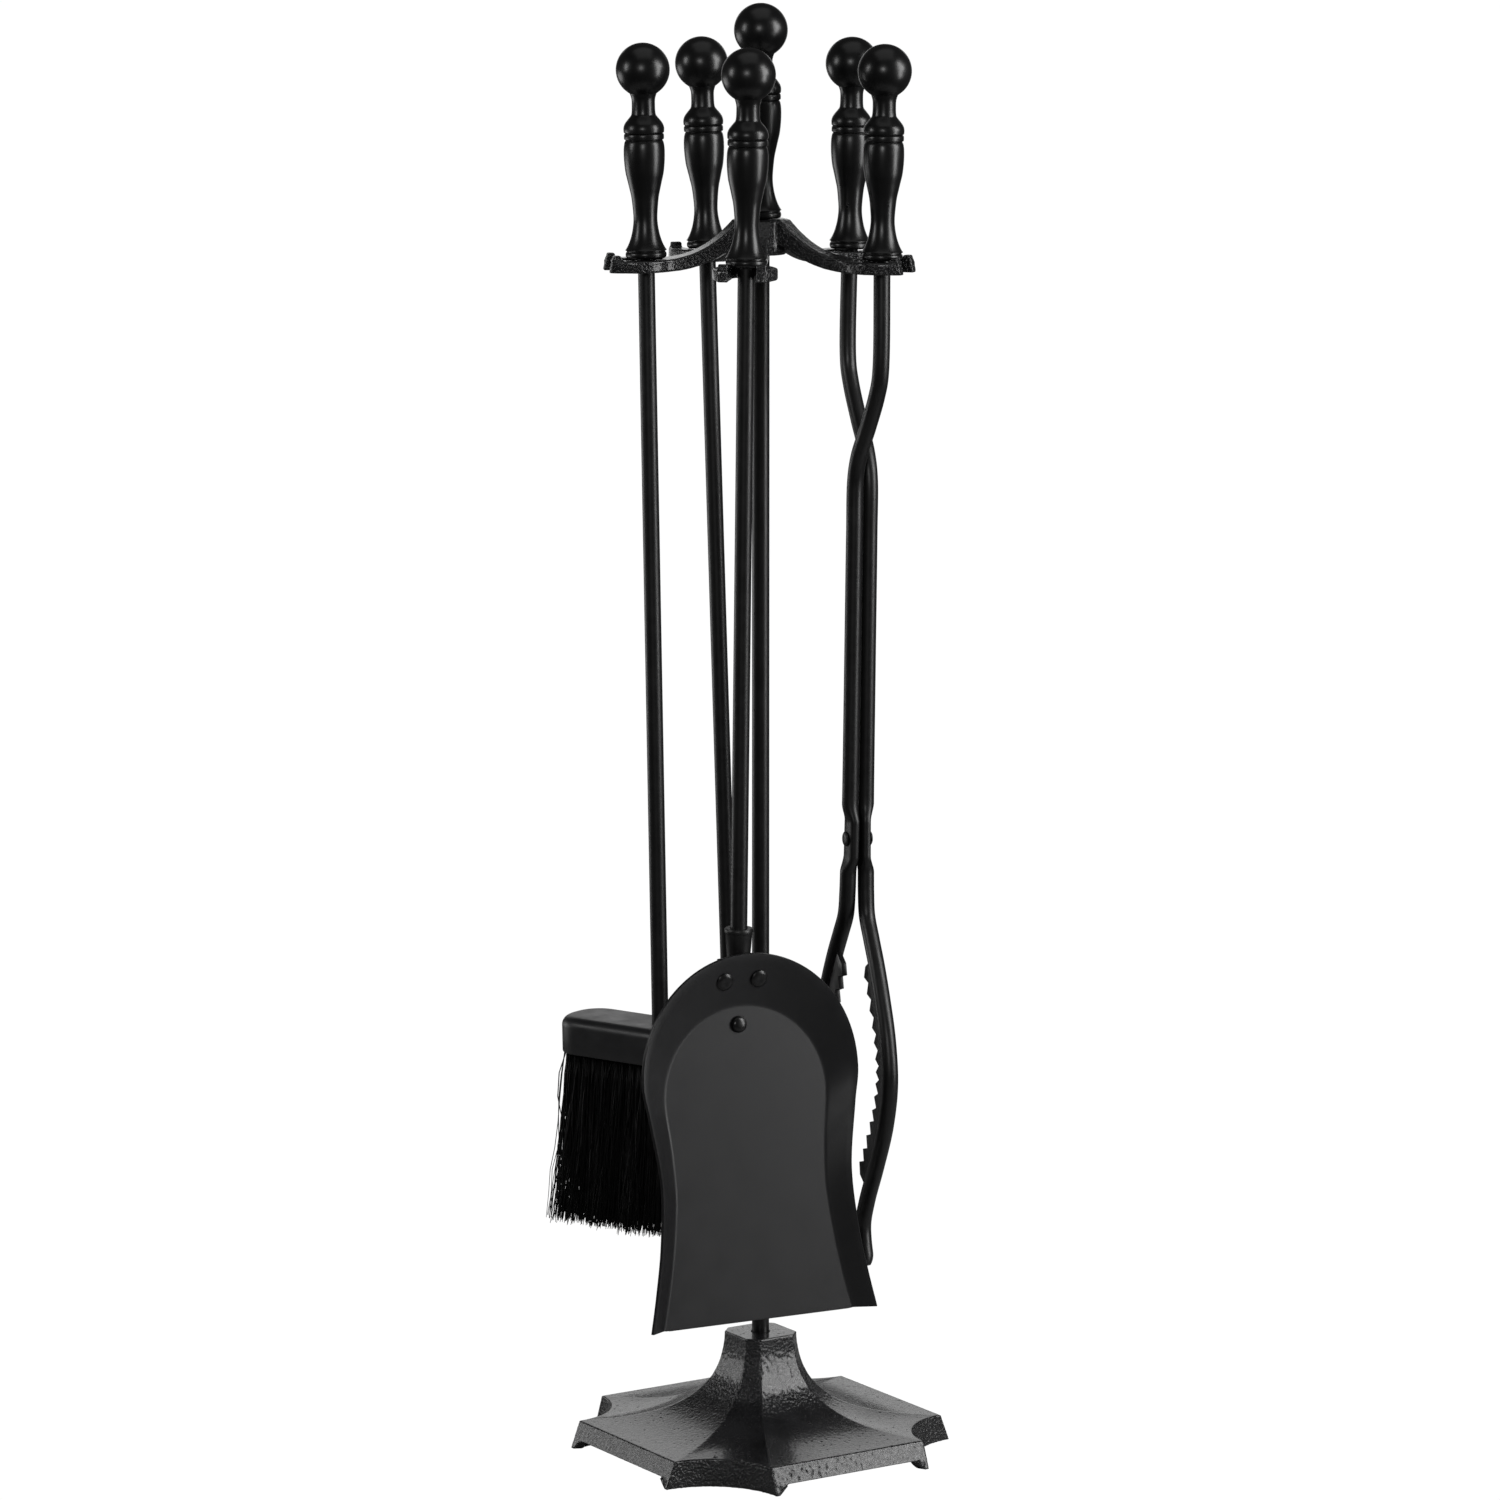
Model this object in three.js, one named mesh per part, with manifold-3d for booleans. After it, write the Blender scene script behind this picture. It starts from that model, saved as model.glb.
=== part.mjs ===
// Fireplace tool set: a cast stand with a five-armed rack that carries a brush, a poker,
// a shovel and a pair of scissor tongs. Millimetres, +Z up.
// Everything that hangs is laid out in the rack's own frame: +X to its right, -Y to its front.
import * as THREE from 'three';
import { mergeVertices } from 'three/addons/utils/BufferGeometryUtils.js';
import Module from 'manifold-3d';

const wasm = await Module();
wasm.setup();

// ---------- driving dimensions ----------
const gap = 0.3; // between pieces that touch or screw together
const runningGap = 0.08; // radial play of the tongs on their rivet

const baseHalf = 86.5; // half width of the base plate's top edge
const baseFlare = 5.7; // how far the skirt flares out down to the floor
const skirtHeight = 14.8;
const notchRadius = 37; // hollow cut out of each corner of the plate
const baseWall = 5;
const columnHeight = 64; // top of the hollow column that the pole stands on
const columnHalf = 16.5;
const columnChamfer = 5.6;
const columnRoof = 8;
const footLength = 6.5; // foot at each end of a straight side
const footLift = 5; // how far the side's lower edge is raised between its feet

const poleRadius = 4.7;
const poleThreadRadius = 3.8;
const nutHeight = 6.5;
const nutRadius = 7.2;
const washerHeight = 1.6;
const washerRadius = 8;
const rodRadius = 4.5;
const rodThreadRadius = 3;
const threadDepth = 17; // how far a rod's threaded end goes into its handle

const rackHeight = 653; // top face of the forks, above the floor
const hubRise = 20.5; // hub top above the forks
const hubRadius = 13.9;
const hubLength = 19.1;
const forkThickness = 6.6;
const armReach = 83.5; // pole axis to the fork tips
const slotWidth = 14.8;
const lugHeight = 2.8;
const lugLength = 4;
const hubBottom = rackHeight + hubRise - hubLength;

const rackTurn = -33; // turn of the rack about the pole, against the base's sides, in degrees
const armAngle = { shovel: -97, brush: -169, poker: 118, tongsBack: 45.5, tongsFront: -20.5 };
const toolInset = 21.5; // fork tip to the axis of a single tool's rod
const tongsInset = 15; // fork tip to the axis of a tongs rod

const ballRadius = 14.3;
const handleLength = 113.7;
const flangeRadius = 11;
const seatGap = 0.5; // under a hanging tool's flange, which leans a little
const flangeHeight = rackHeight + seatGap;

const shovelFoot = 91.7; // lowest point of each tool above the floor
const brushFoot = 124;
const pokerFoot = 104;
const tongsFoot = 100;

const panLength = 196.5;
const panHalf = 64.5; // half width across the pan's round back
const panWallSpread = 15.5; // how far the rim stands outside the floor
const panWallRise = 8; // rim above the pan's floor
const panThickness = 1.6;
const panPitch = 8.5; // mouth forward, in degrees
const panTurn = 28; // turn about the shovel's own rod, in degrees

const blockLength = 125;
const blockWidth = 38;
const blockHeight = 20;
const bristleLength = 94;
const bristleFlare = 10;
const bristleInset = 7;
const brushTurn = -38; // turn of the block about its rod, in degrees

const jawLength = 236; // rivet to tip
const jawBow = 42; // how far each jaw bows out from the middle
const armGap = 0.5; // between the two tongs rods, side by side
const armPitch = 2 * rodRadius + armGap;
const flatThickness = 6.3; // of each arm at the rivet
const rivetRadius = 2.5;
const stripHeight = 8.8; // of the strip beside the rod, below its teeth
const toothHeight = 4.7;
const toothCount = 14;
const stripWidth = 3;

// ---------- helpers ----------
const radians = THREE.MathUtils.degToRad;
const smooth = THREE.MathUtils.smoothstep;
const mix = THREE.MathUtils.lerp;
const upright = new THREE.Vector3(0, 0, 1);

function clean(geometry) {
  geometry.deleteAttribute('normal');
  geometry.deleteAttribute('uv');
  const merged = mergeVertices(geometry, 1e-4);
  const corners = merged.index.array;
  const kept = [];
  for (let i = 0; i < corners.length; i += 3) {
    const [a, b, c] = corners.slice(i, i + 3);
    if (a !== b && b !== c && c !== a) kept.push(a, b, c);
  }
  merged.setIndex(kept);
  return merged;
}

function solid(geometry) {
  const source = clean(geometry);
  return new wasm.Manifold(new wasm.Mesh({
    numProp: 3,
    vertProperties: new Float32Array(source.attributes.position.array),
    triVerts: new Uint32Array(source.index.array),
  }));
}

function shape(body) {
  const source = body.getMesh();
  const geometry = new THREE.BufferGeometry();
  geometry.setAttribute('position', new THREE.Float32BufferAttribute(source.vertProperties, 3));
  geometry.setIndex(new THREE.Uint32BufferAttribute(source.triVerts, 1));
  return geometry;
}

// A closed body from rings of equal point counts, its two ends closed by fans.
function loft(rings) {
  const count = rings[0].length;
  const points = rings.flat();
  const middle = (ring) => ring.reduce((sum, p) => sum.add(p), new THREE.Vector3()).divideScalar(count);
  points.push(middle(rings[0]), middle(rings[rings.length - 1]));
  const faces = [];
  for (let r = 0; r + 1 < rings.length; r++) {
    for (let i = 0; i < count; i++) {
      const a = r * count + i;
      const b = r * count + (i + 1) % count;
      faces.push(a, b, b + count, a, b + count, a + count);
    }
  }
  const last = (rings.length - 1) * count;
  for (let i = 0; i < count; i++) {
    const next = (i + 1) % count;
    faces.push(points.length - 2, next, i, points.length - 1, last + i, last + next);
  }
  let volume = 0;
  for (let i = 0; i < faces.length; i += 3) {
    const [a, b, c] = faces.slice(i, i + 3).map((k) => points[k]);
    volume += a.dot(b.clone().cross(c));
  }
  if (volume < 0) faces.reverse();
  const geometry = new THREE.BufferGeometry().setFromPoints(points);
  geometry.setIndex(faces);
  return clean(geometry);
}

// A turned body about Z from [radius, height] points.
function turned(profile, segments = 20) {
  const geometry = new THREE.LatheGeometry(profile.map(([r, z]) => new THREE.Vector2(r, z)), segments);
  return clean(geometry.rotateX(Math.PI / 2));
}

function cylinder(radius, low, high, segments = 24) {
  return turned([[0, low], [radius, low], [radius, high], [0, high]], segments);
}

// An outline of [x, z] points, extruded from -depth / 2 to depth / 2 along Y.
function plate(outline, depth) {
  const form = new THREE.Shape(outline.map(([x, z]) => new THREE.Vector2(x, z)));
  const geometry = new THREE.ExtrudeGeometry(form, { depth, bevelEnabled: false });
  return geometry.rotateX(Math.PI / 2).translate(0, depth / 2, 0);
}

const blackIron = { color: 0x1b1b1d, roughness: 0.38, metalness: 0.6 };
const blackSatin = { color: 0x161617, roughness: 0.32, metalness: 0.3 };
const blackSheet = { color: 0x2b2b2f, roughness: 0.5, metalness: 0.5 };
const blackHair = { color: 0x050505, roughness: 0.9, metalness: 0 };

function piece(name, geometry, look) {
  const mesh = new THREE.Mesh(geometry, new THREE.MeshStandardMaterial(look));
  mesh.name = name;
  return mesh;
}

// ---------- base ----------
// Square with its corners cut: straight cuts up at the column, hollow quarter rounds at the plate.
function baseRing(half, cut, height) {
  const hollow = smooth(half, baseHalf * 0.35, baseHalf * 0.9);
  const steps = 6;
  const ring = [];
  for (let corner = 0; corner < 4; corner++) {
    for (let i = 0; i <= steps; i++) {
      const share = i / steps;
      const angle = share * Math.PI / 2;
      const x = half - cut * mix(share, Math.sin(angle), hollow);
      const y = half - cut * mix(1 - share, Math.cos(angle), hollow);
      ring.push(new THREE.Vector3(x, y, height).applyAxisAngle(upright, corner * Math.PI / 2));
    }
  }
  return ring;
}

const columnCut = (half) => mix(columnChamfer, notchRadius, (half - columnHalf) / (baseHalf - columnHalf));

function baseCasting() {
  const outer = new THREE.CubicBezierCurve(
    new THREE.Vector2(baseHalf, skirtHeight), new THREE.Vector2(baseHalf * 0.58, skirtHeight + 2.2),
    new THREE.Vector2(columnHalf + 1, skirtHeight + 7.2), new THREE.Vector2(columnHalf, columnHeight));
  const inner = new THREE.CubicBezierCurve(
    new THREE.Vector2(baseHalf - baseWall, skirtHeight - baseWall),
    new THREE.Vector2(baseHalf * 0.53, skirtHeight + 2.2 - baseWall),
    new THREE.Vector2(columnHalf - baseWall + 1, skirtHeight + 7.2 - baseWall),
    new THREE.Vector2(columnHalf - baseWall, columnHeight - columnRoof));
  const outside = [baseRing(baseHalf + baseFlare, notchRadius + baseFlare, 0)];
  const inside = [baseRing(baseHalf + baseFlare - baseWall, notchRadius + baseFlare - 2, -1)];
  const levels = 9;
  for (let i = 0; i <= levels; i++) {
    const top = outer.getPoint(i / levels);
    const roof = inner.getPoint(i / levels);
    outside.push(baseRing(top.x, columnCut(top.x), top.y));
    inside.push(baseRing(roof.x, columnCut(roof.x + baseWall) - 2.6, roof.y));
  }
  let body = solid(loft(outside)).subtract(solid(loft(inside)));
  const bore = cylinder(poleThreadRadius + gap, columnHeight - columnRoof - 1, columnHeight + 1);
  body = body.subtract(solid(bore));
  const between = baseHalf - notchRadius - footLength;
  for (let side = 0; side < 4; side++) {
    const cut = plate([[-between, -1], [between, -1], [between - 3, footLift], [3 - between, footLift]],
      baseWall * 4);
    cut.translate(0, baseHalf + baseFlare, 0).rotateZ(side * Math.PI / 2);
    body = body.subtract(solid(cut));
  }
  return shape(body);
}

function baseNut() {
  const across = nutRadius - 0.8;
  const hexagon = turned([[0, 0], [across, 0], [nutRadius, 0.8], [nutRadius, nutHeight - 0.8],
    [across, nutHeight], [0, nutHeight]], 6);
  const bore = cylinder(poleThreadRadius + gap, -1, nutHeight + 1);
  return shape(solid(hexagon).subtract(solid(bore)));
}

function baseWasher() {
  const bore = poleThreadRadius + gap;
  return turned([[bore, 0], [washerRadius, 0], [washerRadius, washerHeight], [bore, washerHeight],
    [bore, 0]]);
}

function pole() {
  const washerSeat = columnHeight - columnRoof - gap - washerHeight;
  const bottom = washerSeat - gap - nutHeight - 3;
  const shoulder = columnHeight + gap;
  const top = rackHeight + hubRise + gap + threadDepth;
  const neck = hubBottom - gap;
  const profile = [[0, bottom], [poleThreadRadius, bottom], [poleThreadRadius, shoulder],
    [poleRadius, shoulder], [poleRadius, neck], [poleThreadRadius, neck], [poleThreadRadius, top], [0, top]];
  return turned(profile, 20);
}

// ---------- rack ----------
// Half width of an arm in plan, from the hub to the fork tips: [share of the reach, half width].
const forkHalf = slotWidth / 2 + 5.3; // at the fork tips, where each prong is 5.3 wide
const armPlan = new THREE.SplineCurve([
  [0, 8.2], [0.2, 7.6], [0.4, 7.4], [0.56, 9.4], [0.68, forkHalf + 1.9], [0.78, forkHalf + 4.5],
  [0.88, forkHalf + 3.3], [1, forkHalf],
].map(([x, y]) => new THREE.Vector2(x, y)));

function rackArm() {
  const flatFrom = armReach * 0.7;
  const sweep = (radius) => Math.min(1, Math.max(0, (flatFrom - radius) / (flatFrom - hubRadius)) ** 2.5);
  const stations = 14;
  const rings = [];
  for (let i = 0; i <= stations; i++) {
    const { x, y: width } = armPlan.getPoint(i / stations);
    const radius = mix(4, armReach, x);
    const top = rackHeight + (hubRise - 0.4) * sweep(radius);
    const bottom = rackHeight - forkThickness + (hubRise - 4.5) * sweep(radius + 2);
    const tipSlant = i === stations ? 1.6 : 0;
    const edge = 0.9;
    const outline = [[-width, bottom + edge], [-width + edge, bottom], [width - edge, bottom],
      [width, bottom + edge], [width, top - edge], [width - edge, top], [-width + edge, top],
      [-width, top - edge]];
    rings.push(outline.map(([across, z]) => new THREE.Vector3(
      radius - tipSlant * (z - bottom) / (top - bottom), across, z)));
  }
  const lugTop = rackHeight + lugHeight;
  const lugs = plate([[armReach - lugLength - 3, rackHeight - 1], [armReach - lugLength - 1.4, lugTop],
    [armReach - 2.2, lugTop], [armReach - 1.4, rackHeight - 1]], 2 * forkHalf);
  const slotEnd = armReach - toolInset - slotWidth / 2 + rodRadius + 1.5;
  const slot = new THREE.Shape();
  slot.moveTo(armReach + 5, -slotWidth / 2);
  slot.lineTo(armReach + 5, slotWidth / 2);
  slot.lineTo(slotEnd, slotWidth / 2);
  slot.absarc(slotEnd, 0, slotWidth / 2, Math.PI / 2, Math.PI * 1.5, false);
  const opening = new THREE.ExtrudeGeometry(slot, { depth: 40, bevelEnabled: false, curveSegments: 10 });
  opening.translate(0, 0, rackHeight - 20);
  return solid(loft(rings)).add(solid(lugs)).subtract(solid(opening));
}

function rackCasting() {
  const hubTop = rackHeight + hubRise;
  let body = solid(turned([[0, hubBottom], [hubRadius - 1, hubBottom], [hubRadius + 0.6, hubBottom + 2],
    [hubRadius, hubTop - 1], [hubRadius - 1, hubTop], [0, hubTop]], 30));
  for (const angle of Object.values(armAngle)) body = body.add(rackArm().rotate([0, 0, angle]));
  body = body.subtract(solid(cylinder(poleThreadRadius + gap, hubBottom - 1, hubTop + 1)));
  return shape(body);
}

// ---------- handles and rods ----------
// A turned ball-top handle: flange at height 0, grip, two rings, neck and ball.
function handle(threadRadius) {
  const bore = threadRadius + gap;
  const ball = handleLength - ballRadius;
  const neck = ballRadius * 0.44;
  const profile = [[0, threadDepth + 1], [bore, threadDepth + 1], [bore, 0], [flangeRadius - 1, 0],
    [flangeRadius - 0.3, 2.4], [flangeRadius, 5.2], [flangeRadius - 2.6, 9], [7.2, 14], [6.3, 21], [6.8, 28],
    [9.6, 43], [10.9, 56], [10.3, 62.4], [9.6, 63], [10.6, 64.6], [9.8, 66.2], [10.8, 68], [9.9, 71.5],
    [neck, 76], [neck, 84]];
  const startAngle = Math.asin(neck / ballRadius);
  const steps = 7;
  for (let i = 0; i <= steps; i++) {
    const angle = mix(startAngle, Math.PI, i / steps);
    profile.push([i === steps ? 0 : ballRadius * Math.sin(angle), ball - ballRadius * Math.cos(angle)]);
  }
  const stretch = (z) => (z > threadDepth + 2 && z < ball - ballRadius ? z * (ball - ballRadius) / 85.1 : z);
  return turned(profile.map(([r, z]) => [r, stretch(z)]), 16);
}

// A rod that hangs from height 0 down to `bottom`, with a threaded end up in its handle.
function rod(bottom, lowerEnd = [[0, bottom], [rodRadius, bottom]]) {
  return turned([...lowerEnd, [rodRadius, -gap], [rodThreadRadius, -gap], [rodThreadRadius, threadDepth],
    [0, threadDepth]], 16);
}

// A group whose origin is a hanging tool's flange, on its arm and leaning as it hangs.
function hung(angle, inset, lean) {
  const group = new THREE.Group();
  const reach = armReach - inset;
  group.position.set(reach * Math.cos(radians(angle)), reach * Math.sin(radians(angle)), flangeHeight);
  const upward = new THREE.Vector3(-lean[0], -lean[1], 1).normalize();
  group.quaternion.setFromUnitVectors(upright, upward);
  return group;
}

const dropTo = (height) => height - flangeHeight;

// ---------- brush ----------
function roundedRing(length, width, radius, height) {
  const ring = [];
  const steps = 5;
  for (let corner = 0; corner < 4; corner++) {
    const along = (corner === 0 || corner === 3 ? 1 : -1) * (length / 2 - radius);
    const across = (corner < 2 ? 1 : -1) * (width / 2 - radius);
    for (let i = 0; i <= steps; i++) {
      const angle = (corner + i / steps) * Math.PI / 2;
      const x = along + radius * Math.cos(angle);
      ring.push(new THREE.Vector3(x, across + radius * Math.sin(angle), height));
    }
  }
  return ring;
}

const bristleTop = () => dropTo(brushFoot) + bristleLength;

function brushBlock() {
  const low = bristleTop() + gap;
  const radius = blockWidth * 0.44;
  const levels = [[0, 0], [0, blockHeight - 4.5], [0.9, blockHeight - 2.2], [2.6, blockHeight - 0.6],
    [5, blockHeight]];
  const rings = levels.map(([inset, up]) => (
    roundedRing(blockLength - 2 * inset, blockWidth - 2 * inset, radius - inset, low + up)));
  const bore = cylinder(rodThreadRadius + gap, low + 6, low + blockHeight + 1, 16);
  return shape(solid(loft(rings)).subtract(solid(bore)));
}

function brushRod() {
  const blockTop = bristleTop() + gap + blockHeight;
  const spigot = blockTop - blockHeight + 7;
  return rod(blockTop + gap, [[0, spigot], [rodThreadRadius, spigot],
    [rodThreadRadius, blockTop + gap], [rodRadius, blockTop + gap]]);
}

function brushBristles() {
  const low = dropTo(brushFoot);
  const high = bristleTop();
  const rings = [0, 0.2, 0.5, 0.8, 1].map((share) => {
    const grow = 2 * bristleFlare * share ** 1.3;
    return roundedRing(blockLength - 2 * bristleInset + grow, blockWidth - 2 * bristleInset + grow * 0.8,
      blockWidth * 0.3, mix(high, low, share));
  });
  return loft(rings);
}

function brush() {
  const tool = hung(armAngle.brush, toolInset, [0.0156, 0.003]);
  const head = new THREE.Group();
  head.rotation.z = radians(brushTurn);
  head.add(piece('brush_block', brushBlock(), blackSatin),
    piece('brush_bristles', brushBristles(), blackHair));
  tool.add(piece('brush_handle', handle(rodThreadRadius), blackSatin),
    piece('brush_rod', brushRod(), blackSatin), head);
  return tool;
}

// ---------- poker ----------
const hookHeight = 52; // where the hook leaves the rod, above the point

function pokerRod() {
  const tip = dropTo(pokerFoot);
  return rod(tip, [[0, tip], [1, tip], [rodRadius, tip + 34]]);
}

// A tapering horn that leaves the rod sideways and turns down to a point.
function pokerHook() {
  const start = dropTo(pokerFoot) + hookHeight;
  const path = new THREE.CubicBezierCurve(
    new THREE.Vector2(rodRadius + gap, start), new THREE.Vector2(22, start + 6),
    new THREE.Vector2(33, start - 4), new THREE.Vector2(36, start - 26));
  const stations = 8;
  const rings = [];
  for (let i = 0; i <= stations; i++) {
    const share = i / stations;
    const centre = path.getPoint(share);
    const along = i === 0 ? new THREE.Vector2(1, 0) : path.getTangent(share);
    const radius = mix(rodRadius * 0.86, 0.9, share ** 1.4);
    const ring = [];
    for (let k = 0; k < 12; k++) {
      const angle = k / 12 * Math.PI * 2;
      const out = radius * Math.cos(angle);
      const x = centre.x - out * along.y;
      ring.push(new THREE.Vector3(x, radius * Math.sin(angle), centre.y + out * along.x));
    }
    rings.push(ring);
  }
  return loft(rings);
}

function poker() {
  const tool = hung(armAngle.poker, toolInset, [0.0291, -0.01]);
  const horn = new THREE.Group();
  horn.rotation.z = radians(25);
  horn.add(piece('poker_hook', pokerHook(), blackSatin));
  tool.add(piece('poker_handle', handle(rodThreadRadius), blackSatin),
    piece('poker_rod', pokerRod(), blackSatin), horn);
  return tool;
}

// ---------- shovel ----------
// The pan's own frame: X across it, -Y out of its floor, -Z from its back towards its mouth.
// Half widths are [share of the pan's length, half width] pairs below the round back.
const backWallSpread = panWallSpread + 12;
const backWallRise = panWallRise + 2;
const floorHalf = panHalf - panWallSpread;
const rimSides = [[0.43, 0.953], [0.6, 0.882], [0.76, 0.91], [0.89, 0.975], [1, 1.045]];
const floorSides = [[0.53, 0.945], [0.66, 0.935], [0.81, 1.01], [0.93, 1.105], [1, 1.175]];

// Outline from the mouth's left end over the back to its right end, moved out by `offset`.
function panOutline(sides, half, top, offset, overrun) {
  const centre = top + half;
  const lead = new THREE.Vector2(centre - half * 0.34, half * 0.94); // in line with the round back
  const curve = new THREE.SplineCurve([lead, new THREE.Vector2(centre, half),
    ...sides.map(([share, width]) => new THREE.Vector2(share * panLength, width * half))]);
  const side = curve.getPoints(12).slice(2).map((p) => [p.y + offset, p.x]);
  side[side.length - 1][1] += overrun;
  const back = [];
  const steps = 16;
  for (let i = 1; i < steps; i++) {
    const angle = i / steps * Math.PI;
    back.push([-(half + offset) * Math.cos(angle), centre - (half + offset) * Math.sin(angle)]);
  }
  return [...side.map(([x, s]) => [-x, s]).reverse(), ...back, ...side];
}

const rimRise = (s) => mix(backWallRise, panWallRise, smooth(s, 0, panHalf));

// The space between the pan's floor, at `back`, and its rim, moved out by `offset`; `reach` 1 is the rim.
function panBody(offset, back, reach, overrun) {
  const floor = panOutline(floorSides, floorHalf, backWallSpread, offset, overrun);
  const rim = panOutline(rimSides, panHalf, 0, offset, overrun);
  const lower = floor.map(([x, s]) => new THREE.Vector3(x, back, -s));
  const upper = rim.map(([x, s], i) => {
    const [fx, fs] = floor[i];
    return new THREE.Vector3(mix(fx, x, reach), -rimRise(s) * reach, -mix(fs, s, reach));
  });
  return solid(loft([lower, upper]));
}

// Each rivet: [across, distance from the back of the rim, true if it is in the sloping back wall].
const rivets = {
  pan_rivet_left: [-11.9, 14, true],
  pan_rivet_right: [8.9, 14, true],
  pan_rivet_lower: [-2.2, 37.7, false],
};
const wallSlope = Math.atan2(backWallRise, backWallSpread);
const panRivetRadius = 2;
const tongueThickness = 2.4;

function rivetPlace(geometry, [across, s, onWall]) {
  geometry.rotateX(Math.PI / 2 + (onWall ? wallSlope : 0));
  const roundFall = floorHalf - Math.sqrt(floorHalf ** 2 - across ** 2);
  const out = onWall ? (backWallSpread + roundFall - s) * Math.tan(wallSlope) : 0;
  return geometry.translate(across, -out, -s);
}

function rivetHoles(body) {
  for (const place of Object.values(rivets)) {
    body = body.subtract(solid(rivetPlace(cylinder(panRivetRadius + gap, -8, 8, 12), place)));
  }
  return body;
}

function shovelPan() {
  return shape(rivetHoles(panBody(panThickness, panThickness, 1, 0).subtract(panBody(0, 0, 1.1, 4))));
}

function panRivet(place) {
  const back = -panThickness - tongueThickness - 3 * gap;
  const under = place[2] ? 2 * gap : gap; // the back wall is a little hollow under its rivets
  const head = place[2] ? [[4.6, under], [4.5, 1.2], [3.2, 1.8]] : [[4.2, under], [4, 1.4], [2.4, 2.5]];
  const profile = [[0, back - 1.2], [2.8, back - 1.2], [3.4, back - gap], [panRivetRadius, back - gap],
    [panRivetRadius, under], ...head, [0, head[2][1] + 0.2]];
  return rivetPlace(turned(profile, 12), place);
}

const panBack = 0.5; // pan floor's place behind the rod's axis, at the back of the rim
const socketTop = 14; // above the back of the rim
const socketBottom = 5; // below it
const tongueWidth = 32;

// A tapered socket for the rod with a bent tongue that lies behind the pan's wall and floor.
function shovelSocket() {
  const bore = rodRadius + gap;
  const ferrule = turned([[0, -socketBottom], [6.3, -socketBottom], [6.8, 4], [7.5, socketTop - 2],
    [7.5, socketTop], [bore, socketTop], [bore, 1], [0, 1]], 16);
  const slope = (backWallRise + panThickness) / backWallSpread;
  const behind = (s) => Math.min(panThickness, (s + panThickness) * slope - backWallRise) + gap;
  const front = [2, backWallSpread - panThickness, 50].map((s) => [s, behind(s)]);
  const back = front.map(([s, y]) => [s, y + tongueThickness]).reverse();
  const tongue = plate([...front, ...back].map(([s, y]) => [y, -s]), tongueWidth).rotateZ(Math.PI / 2);
  const bent = shape(rivetHoles(solid(tongue)));
  return shape(solid(ferrule).add(solid(bent.rotateX(radians(-panPitch)).translate(0, panBack, 0))));
}

const panTop = () => dropTo(shovelFoot) + panLength * Math.cos(radians(panPitch));

function shovel() {
  const tool = hung(armAngle.shovel, toolInset, [-0.0114, 0.012]);
  const head = new THREE.Group();
  head.position.z = panTop();
  head.rotation.z = radians(panTurn);
  const pan = new THREE.Group();
  pan.rotation.x = radians(-panPitch);
  pan.position.y = panBack;
  pan.add(piece('shovel_pan', shovelPan(), blackSheet));
  for (const [name, place] of Object.entries(rivets)) pan.add(piece(name, panRivet(place), blackSheet));
  head.add(piece('shovel_socket', shovelSocket(), blackSatin), pan);
  tool.add(piece('shovel_handle', handle(rodThreadRadius), blackSatin),
    piece('shovel_rod', rod(panTop() + 1 + gap), blackSatin), head);
  return tool;
}

// ---------- tongs ----------
// The tongs' own frame: X from the back handle to the front handle, Y along the rivet.
// Each handle stands in the middle of its own fork, and the two arms pass side by side.
const tongsMiddle = (armAngle.tongsBack + armAngle.tongsFront) / 2;
const tongsHalfAngle = radians(armAngle.tongsBack - armAngle.tongsFront) / 2;
const handleDistance = 2 * (armReach - tongsInset) * Math.sin(tongsHalfAngle);
const tongsSpread = Math.sqrt(handleDistance ** 2 - armPitch ** 2) / 2;
const tongsTurn = radians(tongsMiddle - 90) + Math.asin(armPitch / handleDistance);
const rivetHeight = () => dropTo(tongsFoot) + jawLength;

// Middle of an arm: [height above the rivet, distance out, thickness share 0..1 of the flat].
function armPath() {
  const top = -rivetHeight();
  const bend = top - 61;
  return new THREE.CatmullRomCurve3([
    [top, tongsSpread, 0], [bend, tongsSpread, 0], [bend - 12, tongsSpread - 5, 0],
    [bend - 30, tongsSpread / 2 + 1, 0], [bend - 47, 6.5, 0], [bend - 60, 1.8, 0], [bend - 90, 1.2, 0],
    [100, 1, 0], [19, 0.6, 0], [10, 0.3, 1], [0, 0, 1], [-10, -0.4, 1], [-18, -1, 0],
    [-30, -1.7, 0], [-42, -3.6, 0], [-54, -jawBow * 0.26, 0], [-67, -jawBow * 0.46, 0],
    [-84, -jawBow * 0.68, 0], [-105, -jawBow * 0.9, 0], [-128, -jawBow, 0],
    [-152, -jawBow * 0.87, 0], [-178, -jawBow * 0.55, 0], [-200, -jawBow * 0.24, 0],
    [22 - jawLength, -4.6, 0], [12 - jawLength, -6, 0], [-jawLength, -11, 0],
  ].map(([z, x, flat]) => new THREE.Vector3(x, flat, z)), false, 'centripetal');
}

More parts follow.
